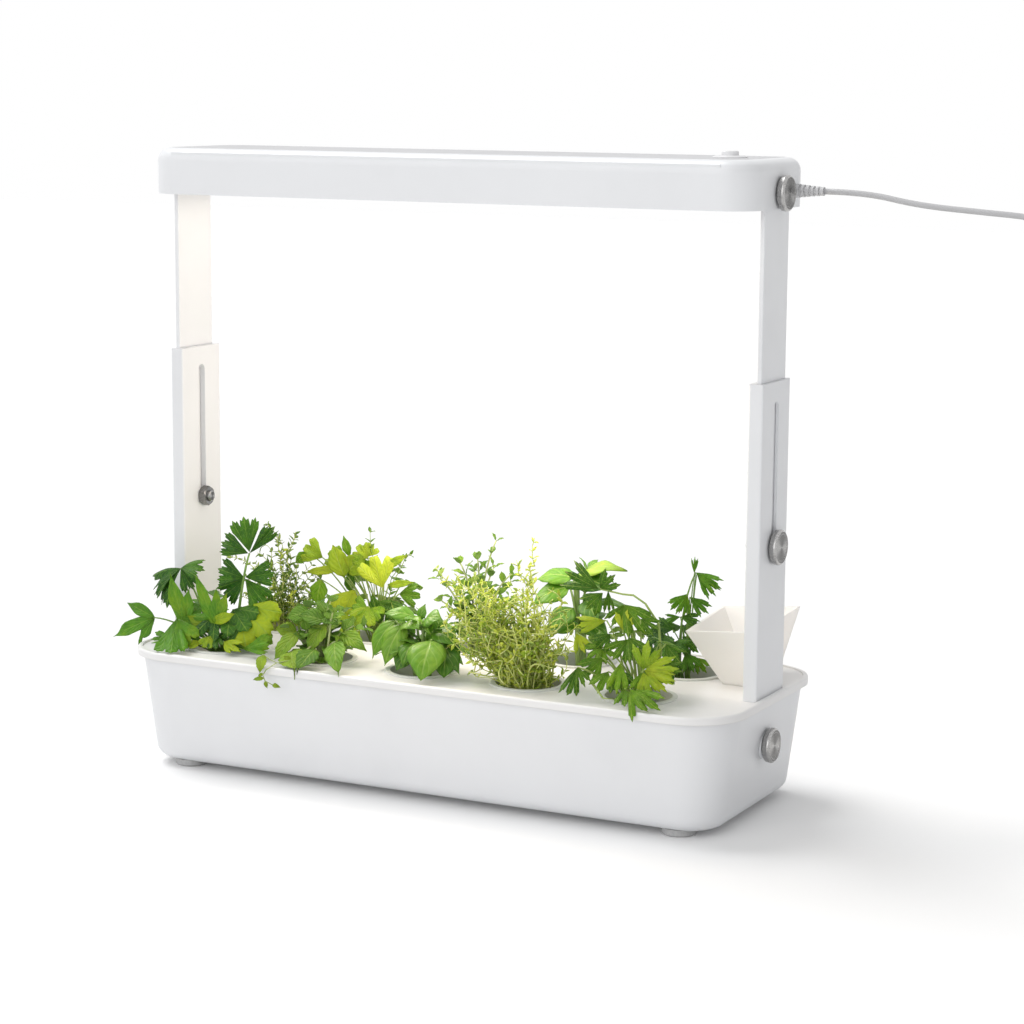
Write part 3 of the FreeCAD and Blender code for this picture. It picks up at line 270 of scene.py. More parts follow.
def knob_metal(name):
    """Turned nickel: a spun face painted darker than the side, with painted reflection lobes that fan out
    from its centre, and a finely lined side.
    """
    material, tree, shader = node_material(name, Metallic=1.0)
    place = tree.nodes.new("ShaderNodeTexCoord")
    parts = tree.nodes.new("ShaderNodeSeparateXYZ")
    tree.links.new(place.outputs["Generated"], parts.inputs["Vector"])
    side = tree.nodes.new("ShaderNodeSeparateXYZ")
    tree.links.new(place.outputs["Normal"], side.inputs["Vector"])
    level = math_node(tree, "SUBTRACT", parts.outputs["Z"], 0.5)
    across = math_node(tree, "SUBTRACT", parts.outputs["Y"], 0.5)
    turn = math_node(tree, "ARCTAN2", level, across)
    lines = add_noise(tree, 900, detail=5, roughness=0.65, stretch=(6, 1, 1))
    waver = math_node(tree, "MULTIPLY", lines, 0.5)
    # Painted reflection: bright and dark lobes by angle round the face's centre, put into the colour
    fan = math_node(tree, "COSINE", math_node(tree, "ADD", math_node(tree, "MULTIPLY", turn, 2.0), waver))
    fan = math_node(tree, "ADD", math_node(tree, "MULTIPLY", fan, 0.38),
                    math_node(tree, "MULTIPLY", lines, 0.9), clamp=True)
    # The face's colour: painted shade, with the painted reflection lobes on it
    face = ramp(tree, fan, [(0.1, (0.10, 0.098, 0.095)), (0.5, (0.17, 0.168, 0.165)),
                            (0.9, (0.36, 0.355, 0.35))])
    rim = ramp(tree, lines, [(0.35, (0.30, 0.295, 0.29)), (0.65, (0.52, 0.515, 0.51))])
    # Painted shade: surfaces facing along X, the face, take the darker painted colour; the side takes the
    # lighter lined one
    facing = remap(tree, math_node(tree, "ABSOLUTE", side.outputs["X"]), 0.0, 1.0, 0.80, 0.97)
    tree.links.new(mix_colours(tree, facing, rim, face), shader.inputs["Base Color"])
    tree.links.new(remap(tree, lines, 0.20, 0.34), shader.inputs["Roughness"])
    add_bump(tree, shader, lines, 0.00001, edge=0.0004)
    return material


def rubber(name, dark, light, rough=0.7, **values):
    material, tree, shader = node_material(name, **values)
    speckle = add_noise(tree, 500, detail=5, roughness=0.6)
    tree.links.new(ramp(tree, speckle, [(0.3, dark), (0.7, light)]), shader.inputs["Base Color"])
    tree.links.new(remap(tree, speckle, rough - 0.06, rough + 0.06), shader.inputs["Roughness"])
    add_bump(tree, shader, speckle, 0.00005)
    return material


def foam(name, dark, light):
    material, tree, shader = node_material(name, Roughness=0.95, Specular_IOR_Level=0.2)
    place = tree.nodes.new("ShaderNodeTexCoord").outputs["Object"]
    cells = tree.nodes.new("ShaderNodeTexVoronoi")
    cells.inputs["Scale"].default_value = 700
    tree.links.new(place, cells.inputs["Vector"])
    crumbs = add_noise(tree, 260, detail=6, roughness=0.7)
    tree.links.new(ramp(tree, crumbs, [(0.3, dark), (0.7, light)]), shader.inputs["Base Color"])
    add_bump(tree, shader, math_node(tree, "ADD", cells.outputs["Distance"], crumbs), 0.0008)
    return material


def diffuser(name):
    """Ribbed opal panel lit from behind; brighter over the rows of chips."""
    material, tree, shader = node_material(name, Roughness=0.45, Base_Color=(0.9, 0.9, 0.88),
                                           Emission_Strength=1.0)
    place = tree.nodes.new("ShaderNodeTexCoord").outputs["Object"]
    waves = tree.nodes.new("ShaderNodeTexWave")
    waves.bands_direction = "Y"
    waves.inputs["Scale"].default_value = 60
    waves.inputs["Distortion"].default_value = 0.4
    tree.links.new(place, waves.inputs["Vector"])
    glow = ramp(tree, waves.outputs["Fac"], [(0.0, (0.95, 0.82, 0.68)), (1.0, (1.0, 0.89, 0.76))])
    tree.links.new(glow, shader.inputs["Emission Color"])
    add_bump(tree, shader, waves.outputs["Fac"], 0.0002)
    return material


def laminate(name):
    material, tree, shader = node_material(name, Roughness=0.4, Coat_Weight=0.3)
    place = tree.nodes.new("ShaderNodeTexCoord").outputs["Object"]
    tracks = tree.nodes.new("ShaderNodeTexBrick")
    tracks.inputs["Scale"].default_value = 180
    tracks.inputs["Color1"].default_value = (0.02, 0.12, 0.05, 1)
    tracks.inputs["Color2"].default_value = (0.02, 0.15, 0.06, 1)
    tracks.inputs["Mortar"].default_value = (0.05, 0.22, 0.10, 1)
    tree.links.new(place, tracks.inputs["Vector"])
    tree.links.new(tracks.outputs["Color"], shader.inputs["Base Color"])
    add_bump(tree, shader, tracks.outputs["Fac"], 0.00005)
    return material


def leaf_material(name, dark, light, young, vein, rough, quilt=0.0004, fibres=5.0, coat=0.0):
    """A leaf's upper side: tint by leaf, mottling, a pale midrib and side veins with puckers between."""
    material, tree, shader = node_material(name, Subsurface_Weight=0.18, Subsurface_Scale=0.002,
                                           Subsurface_Radius=(0.6, 1.0, 0.2), Coat_Weight=coat,
                                           Coat_Roughness=0.35, Specular_IOR_Level=0.22)
    tint = tree.nodes.new("ShaderNodeAttribute")
    tint.attribute_name = "tint"
    mottle = add_noise(tree, 220, detail=5, roughness=0.6)
    patch = add_noise(tree, 45, detail=2)
    share = math_node(tree, "ADD", tint.outputs["Fac"],
                      math_node(tree, "MULTIPLY", math_node(tree, "SUBTRACT", mottle, 0.5), 0.5))
    share = math_node(tree, "ADD", share,
                      math_node(tree, "MULTIPLY", math_node(tree, "SUBTRACT", patch, 0.5), 0.5),
                      clamp=True)
    colours = ramp(tree, share, [(0.05, dark), (0.5, light), (0.95, young)])
    uv = tree.nodes.new("ShaderNodeUVMap")
    uv.uv_map = "blade"
    parts = tree.nodes.new("ShaderNodeSeparateXYZ")
    tree.links.new(uv.outputs["UV"], parts.inputs["Vector"])
    across, along = parts.outputs["X"], parts.outputs["Y"]
    slant = math_node(tree, "SUBTRACT", along, math_node(tree, "MULTIPLY", across, 0.42))
    strips = math_node(tree, "PINGPONG", math_node(tree, "MULTIPLY", slant, fibres * 2), 1.0)
    side_veins = remap(tree, strips, 1.0, 0.0, 0.0, 0.22)
    midrib = remap(tree, across, 1.0, 0.0, 0.02, 0.09)
    veins = math_node(tree, "MAXIMUM", midrib, math_node(tree, "MULTIPLY", side_veins, 0.55))
    colours = mix_colours(tree, math_node(tree, "MULTIPLY", veins, 0.55), colours, vein)
    tree.links.new(colours, shader.inputs["Base Color"])
    tree.links.new(remap(tree, mottle, rough - 0.08, rough + 0.1), shader.inputs["Roughness"])
    height = math_node(tree, "SUBTRACT", math_node(tree, "MULTIPLY", strips, 0.6),
                       math_node(tree, "MULTIPLY", midrib, 0.5))
    height = math_node(tree, "ADD", height, math_node(tree, "MULTIPLY", mottle, 0.4))
    add_bump(tree, shader, height, quilt)
    return material


def underside_material(name, pale, light):
    """The paler, duller underside of a leaf, with its raised midrib."""
    material, tree, shader = node_material(name, Subsurface_Weight=0.18, Subsurface_Scale=0.002,
                                           Subsurface_Radius=(0.6, 1.0, 0.2), Specular_IOR_Level=0.3)
    mottle = add_noise(tree, 240, detail=5, roughness=0.6)
    colours = ramp(tree, mottle, [(0.3, light), (0.7, pale)])
    tree.links.new(colours, shader.inputs["Base Color"])
    tree.links.new(remap(tree, mottle, 0.55, 0.75), shader.inputs["Roughness"])
    add_bump(tree, shader, mottle, 0.0002)
    return material


def stem_material(name, dark, light):
    material, tree, shader = node_material(name, Subsurface_Weight=0.12, Subsurface_Scale=0.002,
                                           Subsurface_Radius=(0.6, 1.0, 0.2))
    streaks = add_noise(tree, 300, detail=4, stretch=(1, 1, 0.25))
    tree.links.new(ramp(tree, streaks, [(0.3, dark), (0.7, light)]), shader.inputs["Base Color"])
    tree.links.new(remap(tree, streaks, 0.42, 0.6), shader.inputs["Roughness"])
    add_bump(tree, shader, streaks, 0.0001)
    return material


def hopper_material(name):
    """Thin milky plastic that lets a little light through."""
    return plastic(name, (0.93, 0.89, 0.84), rough=0.42, grain=900, vary=0.02,
                   Subsurface_Weight=0.5, Subsurface_Scale=0.012, Subsurface_Radius=(1.0, 0.9, 0.8))


MATERIALS = {
    "tray_plastic": plastic("tray_plastic", (0.83, 0.84, 0.86), rough=0.40),
    "foot_rubber": rubber("foot_rubber", (0.42, 0.42, 0.42), (0.54, 0.54, 0.54), rough=0.5),
    "plate_plastic": plastic("plate_plastic", (0.87, 0.865, 0.86), rough=0.38),
    "sleeve_plastic": plastic("sleeve_plastic", (0.83, 0.84, 0.86), rough=0.42),
    "post_paint": plastic("post_paint", (0.83, 0.84, 0.86), rough=0.34, coat=0.1),
    "knob_metal": knob_metal("knob_metal"),
    "nut_steel": metal("nut_steel", (0.12, 0.12, 0.12), (0.32, 0.315, 0.31), 0.3),
    "washer_rubber": rubber("washer_rubber", (0.03, 0.03, 0.03), (0.06, 0.06, 0.06)),
    "lamp_plastic": plastic("lamp_plastic", (0.84, 0.85, 0.87), rough=0.36, coat=0.1, edge=0),
    "cover_plastic": plastic("cover_plastic", (0.56, 0.56, 0.575), rough=0.45),
    "led_board_metal": metal("led_board_metal", (0.55, 0.55, 0.56), (0.75, 0.75, 0.76), 0.35),
    "diffuser_plastic": diffuser("diffuser_plastic"),
    "button_plastic": plastic("button_plastic", (0.84, 0.84, 0.85), rough=0.3),
    "bezel_plastic": plastic("bezel_plastic", (0.80, 0.80, 0.81), rough=0.35),
    "board_laminate": laminate("board_laminate"),
    "hopper_plastic": hopper_material("hopper_plastic"),
    # Pot plastic: white pots painted down to grey-green, as painted shade of their recessed walls
    "pot_plastic": plastic("pot_plastic", (0.72, 0.74, 0.70), rough=0.45),
    "sponge_foam": foam("sponge_foam", (0.035, 0.026, 0.016), (0.11, 0.085, 0.05)),
    "relief_plastic": plastic("relief_plastic", (0.62, 0.62, 0.63), rough=0.5),
    "cable_jacket": plastic("cable_jacket", (0.50, 0.50, 0.51), rough=0.45, grain=600),
    "adapter_plastic": plastic("adapter_plastic", (0.80, 0.80, 0.81), rough=0.4),
    "pin_metal": metal("pin_metal", (0.55, 0.53, 0.48), (0.75, 0.73, 0.68), 0.22),
    "parsley_leaf": leaf_material("parsley_leaf", (0.020, 0.078, 0.008), (0.095, 0.255, 0.012),
                                  (0.360, 0.470, 0.018), (0.26, 0.42, 0.06), 0.46),
    "celery_leaf": leaf_material("celery_leaf", (0.040, 0.120, 0.006), (0.160, 0.320, 0.012),
                                 (0.460, 0.560, 0.030), (0.44, 0.55, 0.10), 0.48),
    "mint_leaf": leaf_material("mint_leaf", (0.048, 0.130, 0.012), (0.140, 0.280, 0.022),
                               (0.330, 0.450, 0.035), (0.34, 0.46, 0.11), 0.52, quilt=0.0006,
                               fibres=6.0),
    "basil_leaf": leaf_material("basil_leaf", (0.038, 0.120, 0.008), (0.115, 0.270, 0.016),
                                (0.320, 0.470, 0.050), (0.36, 0.50, 0.12), 0.40, fibres=4.0,
                                coat=0.1),
    "thyme_leaf": leaf_material("thyme_leaf", (0.060, 0.140, 0.014), (0.300, 0.440, 0.030),
                                (0.620, 0.700, 0.090), (0.50, 0.60, 0.12), 0.5, fibres=2.0),
}
UNDERSIDES = {
    "parsley_leaf": underside_material("parsley_under", (0.16, 0.29, 0.06), (0.09, 0.20, 0.035)),
    "celery_leaf": underside_material("celery_under", (0.30, 0.42, 0.09), (0.20, 0.32, 0.05)),
    "mint_leaf": underside_material("mint_under", (0.26, 0.37, 0.12), (0.17, 0.28, 0.07)),
    "basil_leaf": underside_material("basil_under", (0.24, 0.37, 0.11), (0.15, 0.28, 0.06)),
    "thyme_leaf": underside_material("thyme_under", (0.42, 0.52, 0.14), (0.28, 0.38, 0.09)),
}
STEMS = {
    "parsley_leaf": stem_material("parsley_stem", (0.10, 0.22, 0.03), (0.22, 0.36, 0.07)),
    "celery_leaf": stem_material("celery_stem", (0.22, 0.34, 0.06), (0.42, 0.52, 0.14)),
    "mint_leaf": stem_material("mint_stem", (0.26, 0.34, 0.11), (0.46, 0.52, 0.24)),
    "basil_leaf": stem_material("basil_stem", (0.20, 0.34, 0.08), (0.36, 0.48, 0.16)),
    "thyme_leaf": stem_material("thyme_stem", (0.50, 0.58, 0.12), (0.76, 0.80, 0.32)),
}


# Cable: the free stretch, the coil beside the garden and its tie

CABLE_RADIUS = 0.002
CABLE_SPLIT = Vector((0.404, 0.031, 0.4154))
CABLE_ROUTE = [
    (0.255, 0.028, 0.429),
    (0.284, 0.028, 0.429),
    (0.320, 0.028, 0.4216),
    (0.362, 0.0286, 0.4184),
    (0.404, 0.031, 0.4154),
    (0.442, 0.038, 0.402),
    (0.468, 0.050, 0.371),
    (0.478, 0.062, 0.324),
    (0.480, 0.073, 0.271),
    (0.477, 0.082, 0.217),
    (0.474, 0.088, 0.163),
    (0.473, 0.091, 0.112),
    (0.4745, 0.091, 0.070),
    (0.475, 0.086, 0.039),
    (0.475, 0.072, 0.013),
    (0.475, 0.048, 0.00205),
    (0.475, 0.030, 0.00205),
]
COIL_CENTRE = Vector((0.503, 0.026, 0.00205))
COIL_RADIUS = 0.028
COIL_PITCH = 0.0047
COIL_LAYERS = 4
LAYER_TURNS = 1.875
CLIMB_TURNS = 0.5
CLIMB_BULGE = 0.15
POINTS_PER_TURN = 16
ADAPTER_MOUTH = [(0.475, 0.012, 0.0145), (0.475, 0.003, 0.014)]
CABLE_SIDES = 14
TIE_GAP_ACROSS = 0.0026
TIE_GAP_UP = 0.0024
TIE_CORNER = 0.0022
TIE_CORNER_STEPS = 6
TIE_HALF_WIDTH = 0.0045
TIE_FACES = (-0.0003, 0.0004)
TIE_TAIL_STEPS = 7


def coil_point(turn):
    """Place on the coil after a number of turns; its layers spiral in and out by turns."""
    inner = COIL_RADIUS - COIL_PITCH * LAYER_TURNS
    layer = min(int(turn / (LAYER_TURNS + CLIMB_TURNS) + 1e-9), COIL_LAYERS - 1)
    along = turn - layer * (LAYER_TURNS + CLIMB_TURNS)
    first, last, outward = (COIL_RADIUS, inner, -1) if layer % 2 == 0 else (inner, COIL_RADIUS, 1)
    if along <= LAYER_TURNS:
        radius = first + outward * COIL_PITCH * along
        level = layer
    else:
        share = (along - LAYER_TURNS) / CLIMB_TURNS
        radius = last + outward * COIL_PITCH * CLIMB_BULGE * math.sin(math.pi * share)
        level = layer + (1 - math.cos(math.pi * share)) / 2
    angle = math.pi * (1 + 2 * turn)
    return (COIL_CENTRE.x + radius * math.cos(angle), COIL_CENTRE.y + radius * math.sin(angle),
            COIL_CENTRE.z + level * COIL_PITCH)


def coil_route():
    turns = COIL_LAYERS * LAYER_TURNS + (COIL_LAYERS - 1) * CLIMB_TURNS
    count = round(turns * POINTS_PER_TURN)
    return [coil_point(turns * index / count) for index in range(count + 1)]


def spline_path(points):
    """Points along the smooth curve that has these control points."""
    curve = bpy.data.curves.new("cable_route", "CURVE")
    curve.dimensions = "3D"
    spline = curve.splines.new("NURBS")
    spline.points.add(len(points) - 1)
    for point, place in zip(spline.points, points):
        point.co = (*place, 1)
    spline.order_u = 3
    spline.use_endpoint_u = True
    spline.resolution_u = 6
    carrier = bpy.data.objects.new("cable_route", curve)
    mesh = bpy.data.meshes.new_from_object(carrier)
    path = [vertex.co.copy() for vertex in mesh.vertices]
    bpy.data.objects.remove(carrier)
    bpy.data.curves.remove(curve)
    bpy.data.meshes.remove(mesh)
    return path


def path_length(path):
    """Length along a row of points."""
    return sum((after - before).length for before, after in zip(path, path[1:]))


def cable_piece(name, path):
    verts, faces = tube_mesh(path, CABLE_RADIUS, CABLE_SIDES)
    piece = new_object(name, verts, faces, [MATERIALS["cable_jacket"]])
    return piece


def make_tie():
    """Hook-and-loop strap round the coil's bundle at its far side."""
    bundle_width = COIL_PITCH * LAYER_TURNS / 2
    bundle_height = (COIL_LAYERS - 1) / 2 * COIL_PITCH
    centre = COIL_CENTRE + Vector((COIL_RADIUS - bundle_width, 0, bundle_height))
    inner_x = bundle_width + TIE_GAP_ACROSS - TIE_CORNER
    inner_z = bundle_height + TIE_GAP_UP - TIE_CORNER
    loop = []
    for number, (sign_x, sign_z) in enumerate(QUARTERS):
        for step in range(TIE_CORNER_STEPS + 1):
            angle = math.pi / 2 * (number + step / TIE_CORNER_STEPS)
            loop.append(Vector((sign_x * inner_x + TIE_CORNER * math.cos(angle), 0,
                                sign_z * inner_z + TIE_CORNER * math.sin(angle))))
    tail = [loop[0] + Vector((0.0009, 0, -0.001 * step - 0.0005))
            for step in range(TIE_TAIL_STEPS, -1, -1)]
    route = tail + [point + Vector((0.0003, 0, 0)) for point in loop[1:]]
    route.append(loop[0] + Vector((-0.0004, 0, -0.004)))
    verts = []
    faces = []
    for index, point in enumerate(route):
        before = route[max(index - 1, 0)]
        after = route[min(index + 1, len(route) - 1)]
        tangent = (after - before).normalized()
        outward = Vector((tangent.z, 0, -tangent.x))
        for across in (-TIE_HALF_WIDTH, TIE_HALF_WIDTH):
            for lift in TIE_FACES:
                verts.append(centre + point + outward * lift + Vector((0, across, 0)))
    for index in range(len(route) - 1):
        a = index * 4
        b = a + 4
        for one, two in ((0, 1), (1, 3), (3, 2), (2, 0)):
            faces.append((a + one, a + two, b + two, b + one))
    last = len(verts) - 4
    faces += [(0, 2, 3, 1), (last, last + 1, last + 3, last + 2)]
    for vertex in verts:
        vertex.z = max(vertex.z, 0.0001)
    material = rubber("tie_fabric", (0.60, 0.60, 0.61), (0.80, 0.80, 0.81), rough=0.85,
                      Sheen_Weight=0.4, Sheen_Roughness=0.5)
    tie = new_object("coil_tie", verts, faces, [material], smooth=False)
    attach(tie, "base")
    return tie


def make_cable():
    """One smooth route, in two pieces split near the lamp."""
    path = spline_path(CABLE_ROUTE + coil_route() + ADAPTER_MOUTH)
    split = min(range(len(path) // 3), key=lambda index: (path[index] - CABLE_SPLIT).length)
    head_path = path[:split + 1]
    lead_path = path[split:]
    lead = cable_piece("mains_lead", lead_path)
    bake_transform(lead)
    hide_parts("lamp_cable", "cable_coil")
    head = cable_piece("lead_at_lamp", head_path)
    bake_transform(head)
    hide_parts("lamp_cable")
    make_tie()


make_cable()


# Floor, backdrop and light

FLOOR_SIZE = 14.0
FLOOR_LIFT = 0.04
WORLD_LIGHT = 0.48
GLOW_PLACE = (0.10, 0.0, 0.24)
GLOW_HEIGHT = 0.12
GLOW_DEPTH = 0.08
GLOW_RISE = 0.12
GLOW_POWER = 0.38
GLOW_COLOUR = (1.0, 0.86, 0.72)


def make_floor():
    """A plain pale floor: white to the camera where it is lit, with the garden's soft shadow."""
    half = FLOOR_SIZE / 2
    corners = [(-half, -half, 0), (half, -half, 0), (half, half, 0), (-half, half, 0)]
    material = bpy.data.materials.new("floor")
    material.use_nodes = True
    tree = material.node_tree
    tree.nodes.clear()
    grain = add_noise(tree, 3, detail=2)
    plain = tree.nodes.new("ShaderNodeBsdfDiffuse")
    tree.links.new(ramp(tree, grain, [(0.3, (0.79, 0.79, 0.79)), (0.7, (0.81, 0.81, 0.81))]),
                   plain.inputs["Color"])
    seen = tree.nodes.new("ShaderNodeBsdfDiffuse")
    seen.inputs["Color"].default_value = (0.98, 0.98, 0.98, 1)
    lift = tree.nodes.new("ShaderNodeEmission")
    lift.inputs["Strength"].default_value = FLOOR_LIFT
    added = tree.nodes.new("ShaderNodeAddShader")
    tree.links.new(seen.outputs[0], added.inputs[0])
    tree.links.new(lift.outputs[0], added.inputs[1])
    mix = tree.nodes.new("ShaderNodeMixShader")
    tree.links.new(direct_rays(tree), mix.inputs[0])
    tree.links.new(plain.outputs[0], mix.inputs[1])
    tree.links.new(added.outputs[0], mix.inputs[2])
    out = tree.nodes.new("ShaderNodeOutputMaterial")
    tree.links.new(mix.outputs[0], out.inputs["Surface"])
    floor = new_object("floor", corners, [(0, 1, 2, 3)], [material], smooth=False)


def direct_rays(tree):
    """1 for camera, glossy and transmission rays."""
    path = tree.nodes.new("ShaderNodeLightPath")
    seen = math_node(tree, "ADD", path.outputs["Is Camera Ray"], path.outputs["Is Glossy Ray"])
    return math_node(tree, "ADD", seen, path.outputs["Is Transmission Ray"], clamp=True)


def make_world():
    """Even soft light from all round, seen as white."""
    world = bpy.data.worlds.new("studio")
    bpy.context.scene.world = world
    world.use_nodes = True
    tree = world.node_tree
    tree.nodes.clear()
    mix = tree.nodes.new("ShaderNodeMixShader")
    tree.links.new(direct_rays(tree), mix.inputs[0])
    for socket, strength in ((mix.inputs[1], WORLD_LIGHT), (mix.inputs[2], 1.0)):
        light = tree.nodes.new("ShaderNodeBackground")
        light.inputs["Color"].default_value = (1, 1, 1, 1)
        light.inputs["Strength"].default_value = strength
        tree.links.new(light.outputs[0], socket)
    out = tree.nodes.new("ShaderNodeOutputWorld")
    tree.links.new(mix.outputs[0], out.inputs["Surface"])


def make_sun(name, towards, strength, angle):
    data = bpy.data.lights.new(name, "SUN")
    data.energy = strength
    data.angle = math.radians(angle)
    sun = bpy.data.objects.new(name, data)
    bpy.context.scene.collection.objects.link(sun)
    sun.rotation_euler = Vector(towards).to_track_quat("Z", "Y").to_euler()


def make_glow(name, side):
    """The grow light's warm glow on the inner face of one post and on the herbs."""
    data = bpy.data.lights.new(name, "AREA")
    data.shape = "RECTANGLE"
    data.size = GLOW_HEIGHT
    data.size_y = GLOW_DEPTH
    data.energy = GLOW_POWER
    data.color = GLOW_COLOUR
    lamp = bpy.data.objects.new(name, data)
    bpy.context.scene.collection.objects.link(lamp)
    lamp.location = (-GLOW_PLACE[0] * side, GLOW_PLACE[1], GLOW_PLACE[2])
    lamp.rotation_euler = Vector((-side, 0, GLOW_RISE)).to_track_quat("Z", "Y").to_euler()


make_floor()
make_world()
make_sun("key", (-0.50, 0.12, 0.86), 1.60, 34)
make_sun("front_fill", (-0.10, -0.95, 0.32), 0.95, 60)
make_glow("glow_left", -1)
make_glow("glow_right", 1)


# Hard pieces keep their CAD shape and take their finish by material slot

def finish_cad_nodes():
    for part in frame["record"]["subparts"]:
        for slot in nodes[part["node"]].material_slots:
            slot.material = MATERIALS[part["material_slot"]]


finish_cad_nodes()


# The lamp's rounded edge, where the housing's hollow would show as a thin gap

LAMP_EDGE = 0.009
LAMP_CORNER = 0.024
BEAD_START = 30
BEAD_END = 48
BEAD_STEPS = 6
BEAD_SUNK = 0.00005
BEAD_INNER = (0.003, 0.0037)
BEAD_CORNER_STEPS = 24
BEAD_CREASE = 40


def lamp_outline(high, inset):
    """The lamp's rounded rectangle seen from above, that far inside its side walls."""
    points = []
    for number, (sign_x, sign_y) in enumerate(QUARTERS):
        for step in range(BEAD_CORNER_STEPS + 1):
            turn = math.pi / 2 * (number + step / BEAD_CORNER_STEPS)
            points.append((sign_x * (high[0] - LAMP_CORNER) + (LAMP_CORNER - inset) * math.cos(turn),
                           sign_y * (high[1] - LAMP_CORNER) + (LAMP_CORNER - inset) * math.sin(turn)))
    return points


def make_edge_bead():
    """A closed bead of the housing's plastic, flush with its rounded edge, along the gap."""
    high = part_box("lamp_housing")[1]
    radius = LAMP_EDGE - BEAD_SUNK
    profile = [BEAD_INNER]
    for step in range(BEAD_STEPS + 1):
        turn = math.radians(BEAD_START + (BEAD_END - BEAD_START) * step / BEAD_STEPS)
        profile.append((LAMP_EDGE - radius * math.cos(turn), LAMP_EDGE - radius * math.sin(turn)))
    verts = [(x, y, high[2] - depth) for inset, depth in profile for x, y in lamp_outline(high, inset)]
    faces = ring_faces(len(profile), len(verts) // len(profile), closed=True)
    bead = new_object("lamp_edge_bead", verts, faces, [MATERIALS["lamp_plastic"]])
    bead.data.set_sharp_from_angle(angle=math.radians(BEAD_CREASE))
    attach(bead, "lamp_head")


make_edge_bead()


# Sponges: crumbly foam plugs in the pots

SPONGE_TAPER = 0.0058
SPONGE_SIDES = 48
SPONGE_RINGS = 9
SLIT_WIDTH = 0.0016
SLIT_DEPTH = 0.004
CRUMB_HEIGHT = 0.0011
CRUMB_SCALE = 420


def make_sponge(name, x, y):
    """A tapered plug with a crumbly top and the slit that holds the seedling."""
    low, high = (Vector(corner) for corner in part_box(f"sponge_{name}"))
    top_radius = (high.x - low.x) / 2
    centre = Vector((x, y, 0))
    verts = []
    rings = [(top_radius - SPONGE_TAPER, low.z), (top_radius - 0.0002, high.z - 0.0012)]
    rings += [(top_radius * (1 - step / SPONGE_RINGS), high.z - 0.0004)
              for step in range(1, SPONGE_RINGS)]
    for ring, (radius, z) in enumerate(rings):
        for side in range(SPONGE_SIDES):
            angle = 2 * math.pi * side / SPONGE_SIDES
            point = centre + Vector((radius * math.cos(angle), radius * math.sin(angle), z))
            if ring > 1:
                slit = math.exp(-(point.x - x) ** 2 / (2 * SLIT_WIDTH ** 2))
                point.z += noise.noise(point * CRUMB_SCALE) * CRUMB_HEIGHT - slit * SLIT_DEPTH
            verts.append(point)
    faces = ring_faces(len(rings), SPONGE_SIDES) + end_caps(len(verts), SPONGE_SIDES)
    sponge = new_object(f"foam_{name}", verts, faces, [MATERIALS["sponge_foam"]])
    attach(sponge, f"pot_{name}")
    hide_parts(f"sponge_{name}")


# Herbs

PLATE_TOP = 0.0868
POT_X = (-0.178, -0.094, -0.010, 0.074, 0.158)
POT_Y = {"front": -0.047, "back": 0.037}
POT_MOUTH = 0.0215
POT_LIP = 0.003
RIM_FRONT = -0.0946
RIM_SIDE = 0.2406
LID_CLEARANCE = 0.0022
LID_REACH = 0.007
LEAF_THICKNESS = 0.0003
UP = Vector((0, 0, 1))
TO_CAMERA = Vector((0.45, -0.88, 0.16))


def smooth_curve(root, tip, sag=0.3, lift=0.0, steps=10):
    """A stem's line that rises from root and bends over to tip."""
    middle = root.lerp(tip, 0.5)
    control = Vector((root.x + (middle.x - root.x) * (1 - sag), root.y + (middle.y - root.y) * (1 - sag),
                      max(root.z, tip.z) * 0.75 + root.z * 0.25 + lift))
    points = []
    for step in range(steps + 1):
        t = step / steps
        points.append(root * (1 - t) ** 2 + control * 2 * t * (1 - t) + tip * t ** 2)
    return points


